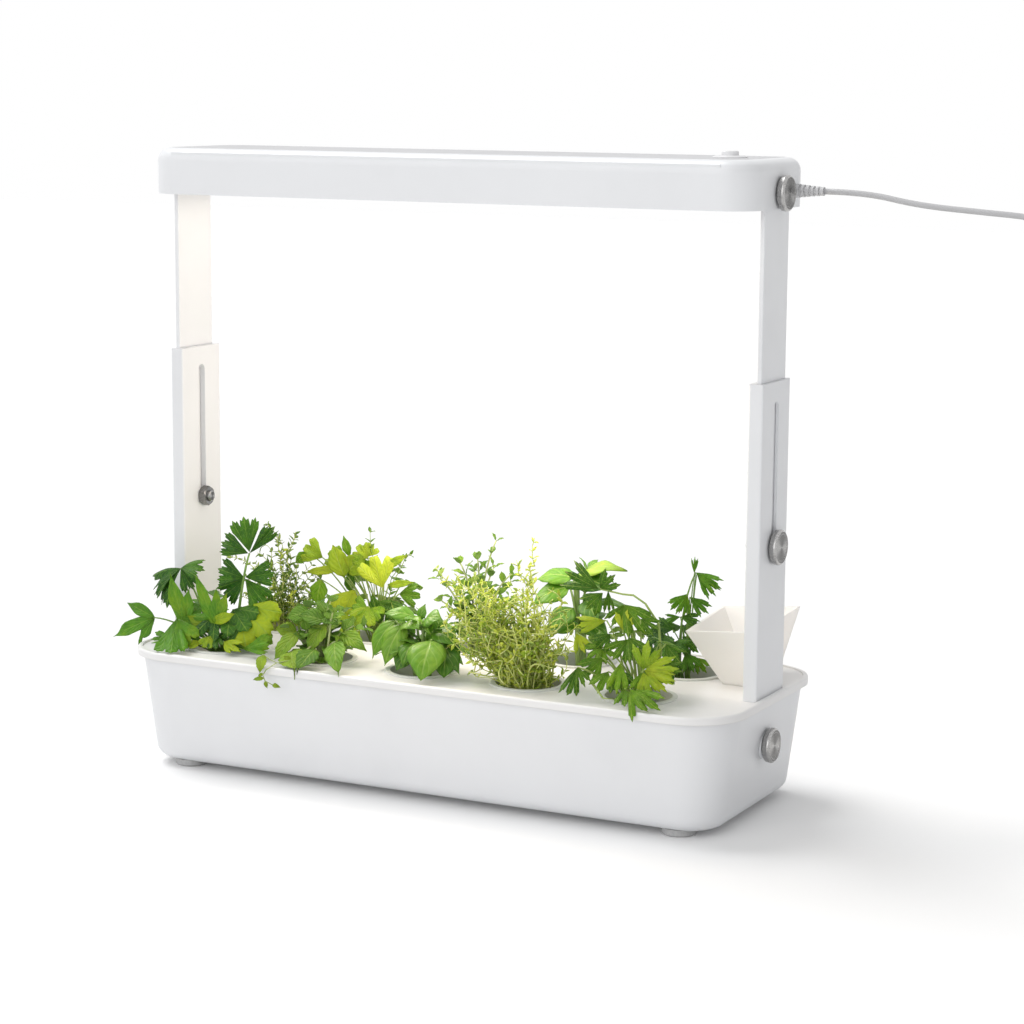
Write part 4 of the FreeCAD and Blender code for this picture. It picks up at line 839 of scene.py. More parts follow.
class Plant:
    """Leaves and stems of one pot, placed in millimetres about the pot's centre on the plate."""

    def __init__(self, name, kind, seed):
        rank, column = name.split("_")
        self.name = name
        self.kind = kind
        self.centre = Vector((POT_X[int(column) - 1], POT_Y[rank], PLATE_TOP))
        self.random = random.Random(seed)
        self.verts, self.faces, self.uvs, self.tints = [], [], [], []
        self.stem_verts, self.stem_faces = [], []

    def at(self, place):
        return self.centre + Vector(place) * MM

    def add_sheet(self, points, uvs, rows, cols, tint):
        start = len(self.verts)
        self.verts += points
        self.uvs += uvs
        self.tints += [tint] * len(points)
        for row in range(rows - 1):
            for col in range(cols - 1):
                a = start + row * cols + col
                self.faces.append((a, a + 1, a + cols + 1, a + cols))

    def frame_of(self, base, tip, up):
        along = (tip - base).normalized()
        side = along.cross(up)
        if side.length < 0.05:
            side = along.orthogonal()
        side.normalize()
        return along, side, side.cross(along)

    def blade(self, base, tip, width, up=UP, tint=0.5, droop=0.15, fold=0.18, teeth=0, tooth=0.0,
              belly=0.75, cup=0.0, rows=11, cols=9, wave=0.03):
        """One simple leaf: folded along its midrib, curled down to its tip, with an even wavy edge."""
        along, side, normal = self.frame_of(base, tip, up)
        length = (tip - base).length
        phase = self.random.uniform(0, 6.28)
        points = []
        uvs = []
        for row in range(rows):
            t = row / (rows - 1)
            half = width / 2 * max(math.sin(math.pi * t ** belly), 0) ** (0.75 + 0.5 * t)
            half += width * 0.02 * (1 - t)
            if teeth:
                half *= 1 - tooth * (1 - math.cos(2 * math.pi * teeth * t)) / 2
            for col in range(cols):
                s = 2 * col / (cols - 1) - 1
                ahead = t * length + abs(s) ** 2 * half * 0.12
                height = droop * length * (4 * t * (1 - t) - t * 0.2)
                height += (fold * abs(s) - cup * s * s) * half
                height += wave * length * abs(s) ** 2 * math.sin(phase + t * 13 + s * 2)
                points.append(base + along * ahead + side * (s * half) + normal * height)
                uvs.append((abs(s), t))
        self.add_sheet(points, uvs, rows, cols, tint)

    def fan(self, base, tip, spread=50, lobes=3, notch=0.35, teeth=3, tooth=0.14, up=UP, tint=0.5,
            droop=0.2, fold=0.15, narrow=0.25, rows=7, wave=0.06, power=1.3):
        """One lobed leaflet that opens like a fan from its stalk, with a toothed far edge."""
        along, side, normal = self.frame_of(base, tip, up)
        length = (tip - base).length
        steps = 12 * lobes + 1
        phase = self.random.uniform(0, 6.28)
        points = []
        uvs = []
        for row in range(rows):
            r = row / (rows - 1)
            for step in range(steps):
                u = 2 * step / (steps - 1) - 1
                turn = math.radians(spread) * u
                place = (u + 1) / 2 * lobes
                local = place - min(int(place), lobes - 1) - 0.5
                reach = 1 - notch * (2 * abs(local)) ** power
                cuts = (local + 0.5) * teeth
                reach -= tooth * abs(2 * (cuts - int(cuts)) - 1) * reach
                reach *= 1 - narrow * u * u
                far = length * (r * (0.35 + 0.65 * r) + r * (1 - r) * 0.65) * (1 - r + r * reach)
                x = far * math.cos(turn)
                y = far * math.sin(turn)
                share = far / length
                height = droop * length * (share * 0.8 - 1.3 * share * share)
                height += fold * abs(y) - fold * 0.8 * abs(local) * far * 0.6
                height += wave * length * r * r * math.sin(phase + u * 7)
                points.append(base + along * x + side * y + normal * height)
                uvs.append((min(abs(local) * 2, 1), r))
        self.add_sheet(points, uvs, rows, steps, tint)

    def stem(self, path, thick, thin, sides=6):
        radii = [thick + (thin - thick) * index / (len(path) - 1) for index in range(len(path))]
        verts, faces = tube_mesh(path, radii, sides)
        start = len(self.stem_verts)
        self.stem_verts += verts
        self.stem_faces += [tuple(start + index for index in face) for face in faces]

    def stalk(self, base, reach, thick, thin, **curve):
        """A stem from the sponge to base, with thicknesses in millimetres."""
        self.stem(smooth_curve(self.root(reach), self.at(base), **curve), thick * MM, thin * MM)

    def stalked_blade(self, base, tip, width, tint, up, style, reach=4, thick=1.3, thin=0.8):
        """A simple leaf on a stalk of its own."""
        self.stalk(base, reach, thick, thin)
        self.blade(self.at(base), self.at(tip), width * MM, up=up, tint=tint, **style)

    def placed_fan(self, base, tip, spread, tint, up, style):
        """A lobed leaflet between two places in millimetres, in a named style."""
        self.fan(self.at(base), self.at(tip), up=up, tint=tint, **dict(style, spread=spread))

    def root(self, reach=6.0):
        """A place in the sponge's top for a stem to start."""
        angle = self.random.uniform(0, 2 * math.pi)
        far = self.random.uniform(0, reach)
        return self.at((far * math.cos(angle), far * math.sin(angle), -10))

    def jitter(self, amount):
        return Vector([self.random.uniform(-amount, amount) for _ in range(3)])

    def facing(self, weight=0.5):
        """A leaf's upward side: mostly up and towards the light, a little to the viewer."""
        return (UP + TO_CAMERA * weight + self.jitter(0.35)).normalized()

    def compound(self, node, tip, size, root=None, pairs=1, style=None, tint=0.5, up=None, angle=62,
                 thick=0.9):
        """A stalk to node, then a leaflet to tip and pairs of leaflets beside and below it."""
        style = style or {}
        node = self.at(node)
        tip = self.at(tip)
        start = self.at(root) if root else self.root()
        path = smooth_curve(start, node)
        self.stem(path, thick * MM, thick * 0.5 * MM)
        up = Vector(up) if up else self.facing()
        along, side, normal = self.frame_of(node, tip, up)
        self.fan(node, tip, up=normal, tint=self.shade(tint), **style)
        heading = along
        for pair in range(pairs):
            if pair == 0:
                spot = node
            else:
                spot = path[-2 - pair * 2]
                heading = (path[-1 - pair * 2] - spot).normalized()
            for sign in (-1, 1):
                turn = math.radians(angle + self.random.uniform(-8, 8)) * sign
                way = (heading * math.cos(turn) + side * math.sin(turn)).normalized()
                far = size * self.random.uniform(0.85, 1.05) * MM
                stalk = spot + way * far * 0.12
                self.stem([spot, stalk + normal * 0.0004], 0.4 * MM, 0.3 * MM, 5)
                self.fan(stalk, stalk + way * far + self.jitter(far * 0.08), up=normal,
                         tint=self.shade(tint), **style)

    def shade(self, tint):
        return min(max(tint + self.random.uniform(-0.14, 0.14), 0.0), 1.0)

    def leafy_stem(self, tip, leaf, width, pairs=4, root=None, tint=0.5, first=0.35, style=None,
                   thick=1.0, sag=0.3):
        """A stem with leaves in crossed pairs, smaller to its tip, and a closed pair at the end."""
        style = style or {}
        start = self.at(root) if root else self.root()
        path = smooth_curve(start, self.at(tip), sag=sag, steps=14)
        self.stem(path, thick * MM, thick * 0.55 * MM)
        turn = self.random.uniform(0, math.pi)
        for pair in range(pairs):
            share = first + (1 - first) * pair / max(pairs - 1, 1)
            index = min(int(share * 14), 13)
            spot = path[index].lerp(path[index + 1], share * 14 - index)
            heading = (path[index + 1] - path[index]).normalized()
            across = heading.orthogonal().normalized()
            other = heading.cross(across)
            scale = 1.0 - 0.45 * pair / max(pairs - 1, 1)
            for sign in (-1, 1):
                angle = turn + pair * math.pi / 2
                out = (across * math.cos(angle) + other * math.sin(angle)) * sign
                lean = 0.35 + 0.5 * pair / max(pairs - 1, 1)
                way = (out + heading * lean + UP * 0.1 + self.jitter(0.15)).normalized()
                far = leaf * scale * self.random.uniform(0.85, 1.1) * MM
                stalk = spot + way * far * 0.15
                self.stem([spot, stalk], 0.35 * MM, 0.3 * MM, 5)
                self.blade(stalk, stalk + way * far, width * scale * MM,
                           up=(heading + UP * 0.8 + TO_CAMERA * 0.3).normalized(),
                           tint=self.shade(tint), **style)

    def wiry_stem(self, tip, root=None, leaf=4.0, gap=3.4, tint=0.5, wobble=2.5, thick=0.5,
                  bare=0.3, sag=0.2):
        """A thin wandering stem with tiny leaves in pairs."""
        start = self.at(root) if root else self.root(9)
        base_path = smooth_curve(start, self.at(tip), sag=sag, steps=16)
        shift = self.jitter(100)
        path = []
        for index, point in enumerate(base_path):
            sway = noise.noise_vector(point * 60 + shift) * wobble * MM * index / 8
            path.append(point + sway)
        self.stem(path, thick * MM, thick * 0.45 * MM, 5)
        travelled = 0.0
        whole = path_length(path)
        turn = self.random.uniform(0, math.pi)
        for before, after in zip(path, path[1:]):
            step = (after - before).length
            heading = (after - before) / max(step, 1e-9)
            across = heading.orthogonal().normalized()
            other = heading.cross(across)
            count = int((travelled + step) / (gap * MM)) - int(travelled / (gap * MM))
            for number in range(count):
                share = (number + 0.5) / count
                spot = before.lerp(after, share)
                if (travelled + step * share) / whole < bare:
                    continue
                turn += 1.5
                for sign in (-1, 1):
                    out = (across * math.cos(turn) + other * math.sin(turn)) * sign
                    way = (out + heading * 0.6 + self.jitter(0.25)).normalized()
                    far = leaf * self.random.uniform(0.6, 1.15) * MM
                    self.blade(spot, spot + way * far, far * 0.42, up=heading,
                               tint=self.shade(tint), rows=5, cols=3, wave=0.0, droop=0.05)
            travelled += step

    def clear_lid(self, point):
        """Keep a point out of the lid, unless it is in its pot or hangs over the rim."""
        height = point.z - PLATE_TOP
        away = (point - self.centre).xy.length
        over_lid = point.y > RIM_FRONT and abs(point.x) < RIM_SIDE
        if height < LID_REACH and away > POT_MOUTH and over_lid:
            share = min((away - POT_MOUTH) / POT_LIP, 1)
            bend = LID_REACH - LID_CLEARANCE
            lifted = LID_CLEARANCE + bend * math.exp((height - LID_REACH) / bend)
            point.z += (lifted - height) * share

    def finish(self):
        """Make the plant's two pieces, which ride on its pot and stand for its CAD herb."""
        for point in self.verts + self.stem_verts:
            self.clear_lid(point)
        slot = self.kind
        leaves = new_object(f"leaves_{self.name}", self.verts, self.faces,
                            [MATERIALS[slot], UNDERSIDES[slot]])
        mesh = leaves.data
        layer = mesh.uv_layers.new(name="blade")
        for loop in mesh.loops:
            layer.data[loop.index].uv = self.uvs[loop.vertex_index]
        tint = mesh.attributes.new("tint", "FLOAT", "POINT")
        tint.data.foreach_set("value", self.tints)
        thicken = leaves.modifiers.new("thickness", "SOLIDIFY")
        thicken.thickness = LEAF_THICKNESS
        thicken.offset = -1
        thicken.material_offset = 1
        thicken.material_offset_rim = 0
        stems = new_object(f"stems_{self.name}", self.stem_verts, self.stem_faces, [STEMS[slot]])
        for piece in (leaves, stems):
            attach(piece, f"pot_{self.name}")
            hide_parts(f"herb_{self.name}")


WEDGE = {"spread": 33, "lobes": 3, "notch": 0.20, "teeth": 3, "tooth": 0.10, "narrow": 0.02,
         "droop": 0.06, "fold": 0.10, "power": 2.4}
ROUNDED = {"spread": 74, "lobes": 3, "notch": 0.20, "teeth": 3, "tooth": 0.06, "narrow": 0.10,
           "droop": 0.20, "fold": 0.12, "power": 2.4}
PARSLEY = {"spread": 60, "lobes": 3, "notch": 0.46, "teeth": 3, "tooth": 0.13, "narrow": 0.10,
           "droop": 0.24, "fold": 0.12, "power": 2.0}
MINT = {"teeth": 6, "tooth": 0.10, "belly": 0.72, "droop": 0.10, "fold": 0.16, "rows": 13}
BASIL = {"belly": 0.68, "droop": 0.14, "fold": 0.22, "cup": 0.30, "rows": 13, "wave": 0.02}
YOUNG_CELERY = {"teeth": 3, "tooth": 0.12, "fold": 0.12, "droop": 0.06, "belly": 0.8}
LIME = {"spread": 58, "lobes": 3, "notch": 0.26, "teeth": 2, "tooth": 0.07, "narrow": 0.06,
        "droop": 0.22, "fold": 0.12, "power": 2.2}


def make_front_1():
    """Flat-leaved celery: a tall dark compound leaf, bright three-fingered leaves, low ones at the rim."""
    plant = Plant("front_1", "parsley_leaf", 11)
    path = smooth_curve(plant.at((10, 0, -8)), plant.at((24, 0, 72)), sag=0.1)
    plant.stem(path, 1.3 * MM, 0.7 * MM, 8)
    for base, tip, spread, tint, turned in (
            ((24, 0, 73), (19, 0, 99), 31, 0.24, (0.30, -0.92, 0.12)),
            ((23, 0, 72), (0, -2, 79), 27, 0.20, (0.30, -0.92, 0.12)),
            ((24, 0, 72), (43, 4, 92), 17, 0.10, (0.75, -0.60, -0.20)),
            ((20, 0, 53), (-2, -3, 59), 31, 0.14, (0.30, -0.92, 0.12)),
            ((20, 0, 53), (1, -2, 37), 28, 0.10, (0.30, -0.92, 0.12)),
            ((20, 0, 54), (44, 2, 59), 28, 0.16, (0.30, -0.92, 0.12)),
            ((20, 0, 53), (37, 2, 34), 29, 0.18, (0.30, -0.92, 0.12))):
        plant.placed_fan(base, tip, spread, tint, turned, WEDGE)
    node = (-32, -6, 57)
    plant.stem(smooth_curve(plant.at((-6, -2, -8)), plant.at(node), sag=0.2), 0.9 * MM, 0.5 * MM)
    for tip, spread, tint in (((-56, -12, 42), 32, 0.10), ((-48, -16, 32), 26, 0.08),
                              ((-12, -8, 60), 34, 0.22), ((-18, -12, 44), 28, 0.14)):
        plant.placed_fan(node, tip, spread, tint, (-0.1, -0.75, 0.8), dict(WEDGE, droop=0.3))
    for base, tip, width, tint in (
            ((-24, -12, 12), (-35, -16, 54), 11, 0.55),
            ((-24, -12, 12), (-20, -14, 44), 10, 0.50),
            ((4, -12, 14), (-13, -15, 55), 9, 0.58),
            ((4, -12, 14), (4, -14, 46), 9, 0.55),
            ((2, -12, 14), (13, -14, 44), 9, 0.60),
            ((2, -12, 14), (-20, -16, 24), 9, 0.75),
            ((-2, -12, 20), (22, -18, 30), 8, 0.85)):
        plant.blade(plant.at(base), plant.at(tip), width * MM, up=(0.25, -0.93, 0.2), tint=tint,
                    fold=0.12, droop=0.04, belly=1.05)
    plant.stem(smooth_curve(plant.at((0, -3, -8)), plant.at((-24, -12, 14))), 1.0 * MM, 0.7 * MM)
    plant.stem(smooth_curve(plant.at((2, -3, -8)), plant.at((4, -12, 14))), 1.0 * MM, 0.7 * MM)
    sprig = smooth_curve(plant.at((-4, -4, -6)), plant.at((-53, -12, 19)), sag=0.1, lift=0.006)
    plant.stem(sprig, 0.9 * MM, 0.5 * MM)
    for tip, width in (((-76, -12, 28), 9), ((-89, -12, 1), 11), ((-66, -13, -5), 8)):
        plant.blade(plant.at((-52, -12, 19)), plant.at(tip), width * MM, up=(0.2, -0.9, 0.4),
                    tint=0.42, fold=0.14, droop=0.05, belly=0.9)
    for base, tip, spread, tint, up, style in (
            ((-30, -15, 21), (-15, -48, -2), 24, 0.42, (0.2, -0.9, 0.4), ROUNDED),
            ((-34, -18, 6), (-50, -22, 4), 42, 0.45, (0, -0.8, 0.6), PARSLEY),
            ((-26, -15, 22), (1, -17, 14), 38, 0.46, (0.1, -0.9, 0.4), PARSLEY),
            ((-24, -22, 22), (-11, -29, 5), 42, 0.55, (0.1, -0.9, 0.4), ROUNDED),
            ((24, -12, 20), (4, -16, 9), 44, 0.06, (0.2, -0.9, 0.4), PARSLEY),
            ((-4, -22, 8), (-14, -29, 2), 34, 0.86, (0.1, -0.9, 0.4), ROUNDED),
            ((3, -18, 12), (-1, -26, 3), 40, 0.74, (0.2, -0.9, 0.4), ROUNDED),
            ((14, -20, 9), (31, -26, 4), 40, 0.94, (0.3, -0.9, 0.5), PARSLEY),
            ((28, -18, 4), (56, -24, 12), 22, 0.58, (0.3, -0.8, 0.6), WEDGE),
            ((4, -16, 12), (10, -25, 3), 44, 0.12, (0.2, -0.9, 0.4), PARSLEY),
            ((0, -8, 26), (6, -24, 6), 58, 0.06, (0.2, -0.9, 0.5), PARSLEY),
            ((12, -4, 30), (30, -14, 18), 60, 0.16, (0.3, -0.9, 0.5), ROUNDED),
            ((18, -2, 32), (46, -8, 14), 52, 0.92, (0.3, -0.9, 0.4), ROUNDED),
            ((-14, -4, 30), (-32, -14, 16), 54, 0.42, (0, -0.8, 0.6), ROUNDED),
            ((6, 6, 24), (30, 14, 24), 54, 0.35, (0.3, 0, 1), PARSLEY),
            ((-6, 6, 24), (-28, 20, 30), 54, 0.40, (0, 0.3, 1), PARSLEY),
            ((0, 8, 22), (4, 30, 20), 54, 0.30, (0, 0.4, 1), PARSLEY),
            ((-12, 10, 34), (-24, 26, 36), 50, 0.35, (0, 0.5, 1), WEDGE),
            ((14, 4, 14), (36, -14, 2), 50, 0.58, (0.3, -0.6, 0.8), ROUNDED),
            ((-14, -18, 12), (-22, -27, 3), 40, 0.62, (0.1, -0.9, 0.4), ROUNDED)):
        plant.stalk(base, 5, 0.8, 0.5)
        plant.placed_fan(base, tip, spread, tint, up, style)
    plant.finish()


def make_back_1():
    """Airy thyme with dark little leaves on thin pale stems, brighter at its edges."""
    plant = Plant("back_1", "thyme_leaf", 21)
    for tip in ((-5, 0, 80), (16, 0, 74), (-11, -4, 60), (4, 6, 70), (24, -4, 62), (34, 2, 50),
                (-22, 4, 56), (-30, 0, 40), (12, 10, 58), (-8, 12, 62), (28, 10, 40), (0, -12, 52),
                (18, -14, 46), (-18, -12, 40), (30, -16, 30), (8, 20, 44), (-20, 18, 34),
                (38, -6, 28), (-34, -8, 24), (2, -20, 30)):
        plant.wiry_stem(tip, leaf=5.6, gap=4.6, tint=0.12, wobble=7, bare=0.3)
    for number in range(34):
        angle = number * 2.4
        reach = 8 + 26 * plant.random.random()
        plant.wiry_stem((reach * math.cos(angle), reach * math.sin(angle) * 0.8,
                         10 + 44 * plant.random.random()), leaf=5, gap=4.4,
                        tint=plant.random.choice((0.1, 0.25, 0.5, 0.75)), wobble=9,
                        sag=plant.random.uniform(-0.2, 0.5))
    plant.finish()


def make_front_2():
    """Mint with rounded leaves on pale stems, and a sprig that trails over the rim."""
    plant = Plant("front_2", "mint_leaf", 31)
    for tip, tint in (((-9, 0, 36), 0.35), ((8, 0, 42), 0.40), ((26, 2, 26), 0.45), ((20, -12, 14), 0.5),
                      ((-22, -8, 20), 0.65), ((-2, -16, 22), 0.35), ((-24, 10, 26), 0.5),
                      ((6, 18, 30), 0.35), ((26, 14, 22), 0.4), ((-8, 14, 34), 0.35),
                      ((14, -6, 34), 0.3), ((-16, -2, 30), 0.45)):
        plant.leafy_stem(tip, 16, 13, pairs=3, tint=tint, first=0.45, style=MINT)
    for base, tip, width, tint, up in (
            ((8, -8, 30), (-9, -16, 34), 15, 0.22, (0.2, -0.7, 0.8)),
            ((8, -8, 28), (3, -22, 8), 14, 0.62, (0.1, -0.9, 0.4)),
            ((-10, -15, 21), (-20, -32, 1), 13, 0.66, (0.1, -0.9, 0.5)),
            ((-9, -24, 10), (7, -48, -5), 20, 0.70, (0.2, -0.9, 0.5)),
            ((9, -22, 12), (9, -48, -1), 16, 0.25, (0.2, -0.9, 0.5)),
            ((25, -22, 19), (43, -48, 1), 16, 0.45, (0.3, -0.9, 0.4)),
            ((20, -4, 22), (44, -10, 12), 13, 0.55, (0.3, -0.8, 0.6)),
            ((-16, -6, 18), (-30, -14, 22), 13, 0.70, (0.2, -0.8, 0.5)),
            ((10, -8, 34), (24, -16, 30), 14, 0.30, (0.3, -0.7, 0.7)),
            ((-4, -6, 34), (-22, -12, 30), 14, 0.42, (0.1, -0.7, 0.7))):
        plant.stalked_blade(base, tip, width, tint, up, MINT, thick=0.9, thin=0.6)
    plant.leafy_stem((19, -15, 38), 9, 7, pairs=2, root=(13, -15, -8), tint=0.6, first=0.8, style=MINT,
                     sag=0)
    trail = [plant.at(place) for place in ((2, -12, 4), (4, -18, 14), (2, -27, 10), (-3, -36, 5),
                                           (-10, -44, 3), (-15, -50, 0), (-17, -51.5, -4),
                                           (-15, -51.5, -8), (-9, -51.5, -10))]
    plant.stem(trail, 0.7 * MM, 0.4 * MM)
    twig = [plant.at(place) for place in ((-10, -44, 3), (-17, -43, 6), (-21, -44, 9))]
    plant.stem(twig, 0.5 * MM, 0.4 * MM)
    for base, tip, width in (((-21, -44, 9), (-20, -51, -3), 8), ((-16, -51.5, -6), (-25, -52, -8), 3.2),
                             ((-15, -51.5, -8), (-13, -52, -13), 3), ((-9, -51.5, -10), (-2, -52, -11), 3.4),
                             ((-17, -51, -3), (-21, -51.5, -5), 2.4), ((-3, -36, 5), (-9, -36, 8), 4)):
        plant.blade(plant.at(base), plant.at(tip), width * MM, up=(0.2, -0.9, 0.4), tint=0.85, **MINT)
    plant.finish()


def make_back_2():
    """Young celery: lime leaves of many shapes on thin pale stalks, darker ones inside."""
    plant = Plant("back_2", "celery_leaf", 41)
    facing = (0.30, -0.92, 0.20)
    for base, tip, spread, tint in (
            ((6, -4, 39), (-1, -7, 64), 46, 0.97), ((-47, -2, 57), (-64, -4, 65), 44, 0.74),
            ((-17, -6, 36), (-26, -12, 14), 50, 0.92), ((18, 0, 35), (37, -4, 36), 38, 0.30),
            ((-10, -10, 16), (-22, -20, 3), 50, 0.78), ((-30, 2, 52), (-44, 0, 62), 42, 0.66),
            ((12, -2, 27), (24, -8, 14), 46, 0.06), ((2, -4, 28), (14, -10, 24), 40, 0.12)):
        plant.stalk(base, 6, 0.8, 0.5)
        plant.placed_fan(base, tip, spread, tint, facing, LIME)
    for base, tip, width, tint in (
            ((-28, -2, 44), (-37, -4, 68), 17, 0.80), ((-25, 0, 60), (-30, 0, 75), 7, 0.45),
            ((-27, 0, 47), (-12, -3, 62), 18, 0.84), ((-32, -2, 50), (-61, -6, 45), 7, 0.96),
            ((-60, -2, 60), (-70, -4, 51), 9, 0.50), ((-46, -6, 41), (-48, -10, 22), 14, 0.52),
            ((-24, 0, 33), (-25, 0, 48), 9, 0.16), ((6, 0, 54), (27, -2, 66), 7, 0.72),
            ((10, -2, 41), (33, -4, 46), 6, 0.76), ((13, -4, 30), (22, -8, 15), 16, 0.08),
            ((4, -4, 12), (-2, -6, 34), 12, 0.04), ((-14, 0, 50), (-4, -2, 58), 12, 0.62),
            ((-36, -6, 30), (-30, -12, 16), 12, 0.40), ((16, -6, 16), (30, -14, 8), 14, 0.30)):
        plant.stalked_blade(base, tip, width, tint, facing, YOUNG_CELERY, reach=6, thick=0.7, thin=0.45)
    for node, tip, size, tint, up in (
            ((-20, 12, 44), (-32, 22, 38), 14, 0.5, (0, 0.5, 1)),
            ((14, 14, 42), (24, 26, 36), 14, 0.45, (0.2, 0.5, 1)),
            ((-2, 14, 50), (-4, 27, 46), 14, 0.55, (0, 0.5, 1)),
            ((-30, 10, 26), (-40, 16, 18), 13, 0.4, (-0.3, 0.3, 1)),
            ((20, 6, 24), (32, 12, 18), 13, 0.3, (0.4, 0.2, 1)),
            ((0, 16, 28), (2, 27, 20), 13, 0.35, (0, 0.6, 1)),
            ((0, -14, 26), (-4, -25, 13), 13, 0.6, (0.1, -0.9, 0.4)),
            ((-8, -2, 60), (-16, -4, 70), 12, 0.70, (0.1, -0.8, 0.5))):
        plant.compound(node, tip, size, pairs=1, style=LIME, tint=tint, up=up, thick=0.8)
    for tip in ((-8, 0, 80), (28, 0, 68), (-18, 2, 66), (18, 6, 62)):
        plant.wiry_stem(tip, leaf=6, gap=7, tint=0.25, bare=0.55)
    plant.finish()


def make_front_3():
    """Basil: bowed leaves with pointed tips, one large leaf hanging over the rim."""
    plant = Plant("front_3", "basil_leaf", 51)
    for tip, tint in (((-14, -2, 24), 0.45), ((10, 2, 28), 0.4), ((-4, 14, 32), 0.35), ((22, 12, 24), 0.4),
                      ((-24, 8, 22), 0.45), ((0, -4, 36), 0.5)):
        plant.leafy_stem(tip, 22, 15, pairs=3, tint=tint, first=0.5, style=BASIL, thick=1.4)
    for base, tip, width, tint, up in (
            ((16, -16, 27), (22, -43, 2), 27, 0.60, (0.30, -0.92, 0.30)),
            ((-20, -4, 35), (-34, -13, 8), 16, 0.55, (0, -0.9, 0.6)),
            ((-12, -6, 34), (-20, -20, 5), 18, 0.62, (0.1, -0.9, 0.5)),
            ((24, -9, 20), (31, -26, 1), 18, 0.28, (0.4, -0.9, 0.4)),
            ((-12, -2, 34), (6, -16, 34), 17, 0.58, (0.2, -0.7, 0.8)),
            ((10, -2, 30), (34, -12, 24), 19, 0.40, (0.3, -0.6, 0.8)),
            ((-6, 0, 38), (-28, -6, 40), 14, 0.5, (0, -0.6, 0.9)),
            ((14, 0, 24), (40, -20, 6), 19, 0.24, (0.4, -0.8, 0.5)),
            ((-4, -8, 18), (-8, -24, 3), 16, 0.15, (0.1, -0.9, 0.4)),
            ((-2, -6, 24), (-2, -26, 8), 17, 0.30, (0.1, -0.9, 0.4)),
            ((4, -4, 38), (22, -12, 42), 16, 0.50, (0.2, -0.7, 0.7))):
        plant.stalked_blade(base, tip, width, tint, up, BASIL)
    plant.finish()


def make_back_3():
    """Upright sprigs with oval leaves."""
    plant = Plant("back_3", "mint_leaf", 61)
    for tip, tint, leaf in (((15, 0, 82), 0.55, 10), ((0, 0, 66), 0.4, 15), ((-14, 0, 62), 0.6, 15),
                            ((-30, -2, 50), 0.5, 14), ((27, 0, 58), 0.5, 14), ((8, 10, 60), 0.4, 14),
                            ((-10, 14, 54), 0.45, 14), ((20, 14, 50), 0.45, 14), ((-24, 10, 44), 0.5, 13),
                            ((12, -12, 48), 0.45, 14), ((-8, -12, 46), 0.5, 14), ((30, -8, 42), 0.5, 13),
                            ((-22, -14, 36), 0.55, 13)):
        style = dict(MINT, belly=0.85)
        plant.leafy_stem(tip, leaf, leaf * 0.62, pairs=5, tint=tint, first=0.3, style=style)
    plant.finish()


def make_front_4():
    """A tangle of yellow-green thyme that fills its hole and spreads to the left."""
    plant = Plant("front_4", "thyme_leaf", 71)
    spread = plant.random.uniform
    for _ in range(84):
        angle = spread(0, 2 * math.pi)
        share = math.sqrt(plant.random.random())
        reach = 34 * share
        height = 10 + (74 - 44 * share) * spread(0.3, 1.05)
        x = reach * math.cos(angle) - 4 * share
        y = reach * math.sin(angle) * 0.85
        root = (15 * share * math.cos(angle), 15 * share * math.sin(angle), -10)
        plant.wiry_stem((x, y, height), root=root, leaf=5.4, gap=6.0, tint=spread(0.4, 1.0),
                        wobble=11, thick=0.6, bare=0.12, sag=spread(-0.6, 0.5))
    for _ in range(44):
        angle = spread(0, 2 * math.pi)
        share = math.sqrt(plant.random.random())
        tip = (-34 + 38 * share * math.cos(angle), spread(-20, 10), 50 + 26 * share * math.sin(angle))
        plant.wiry_stem(tip, leaf=5.2, gap=5.4, tint=spread(0.45, 1.0), wobble=11, thick=0.65,
                        bare=0.3, sag=spread(-0.5, 0.3))
    for _ in range(30):
        angle = spread(0, 2 * math.pi)
        tip = (-12 + 36 * math.cos(angle), -10 + 16 * math.sin(angle), spread(14, 62))
        plant.wiry_stem(tip, leaf=4.0, gap=15, tint=1.0, wobble=15, thick=0.75, bare=0.4,
                        sag=spread(-1.2, -0.2))
    for tip in ((5, 0, 106), (-2, 0, 92), (12, 2, 88), (-66, -4, 41), (-78, 0, 68), (-56, -6, 26),
                (22, -6, 66), (-44, -16, 30), (14, -18, 40), (24, -20, 26), (4, -24, 34), (30, -8, 36)):
        plant.wiry_stem(tip, leaf=5.2, gap=6, tint=0.85, wobble=12, thick=0.7, bare=0.35)
    plant.finish()


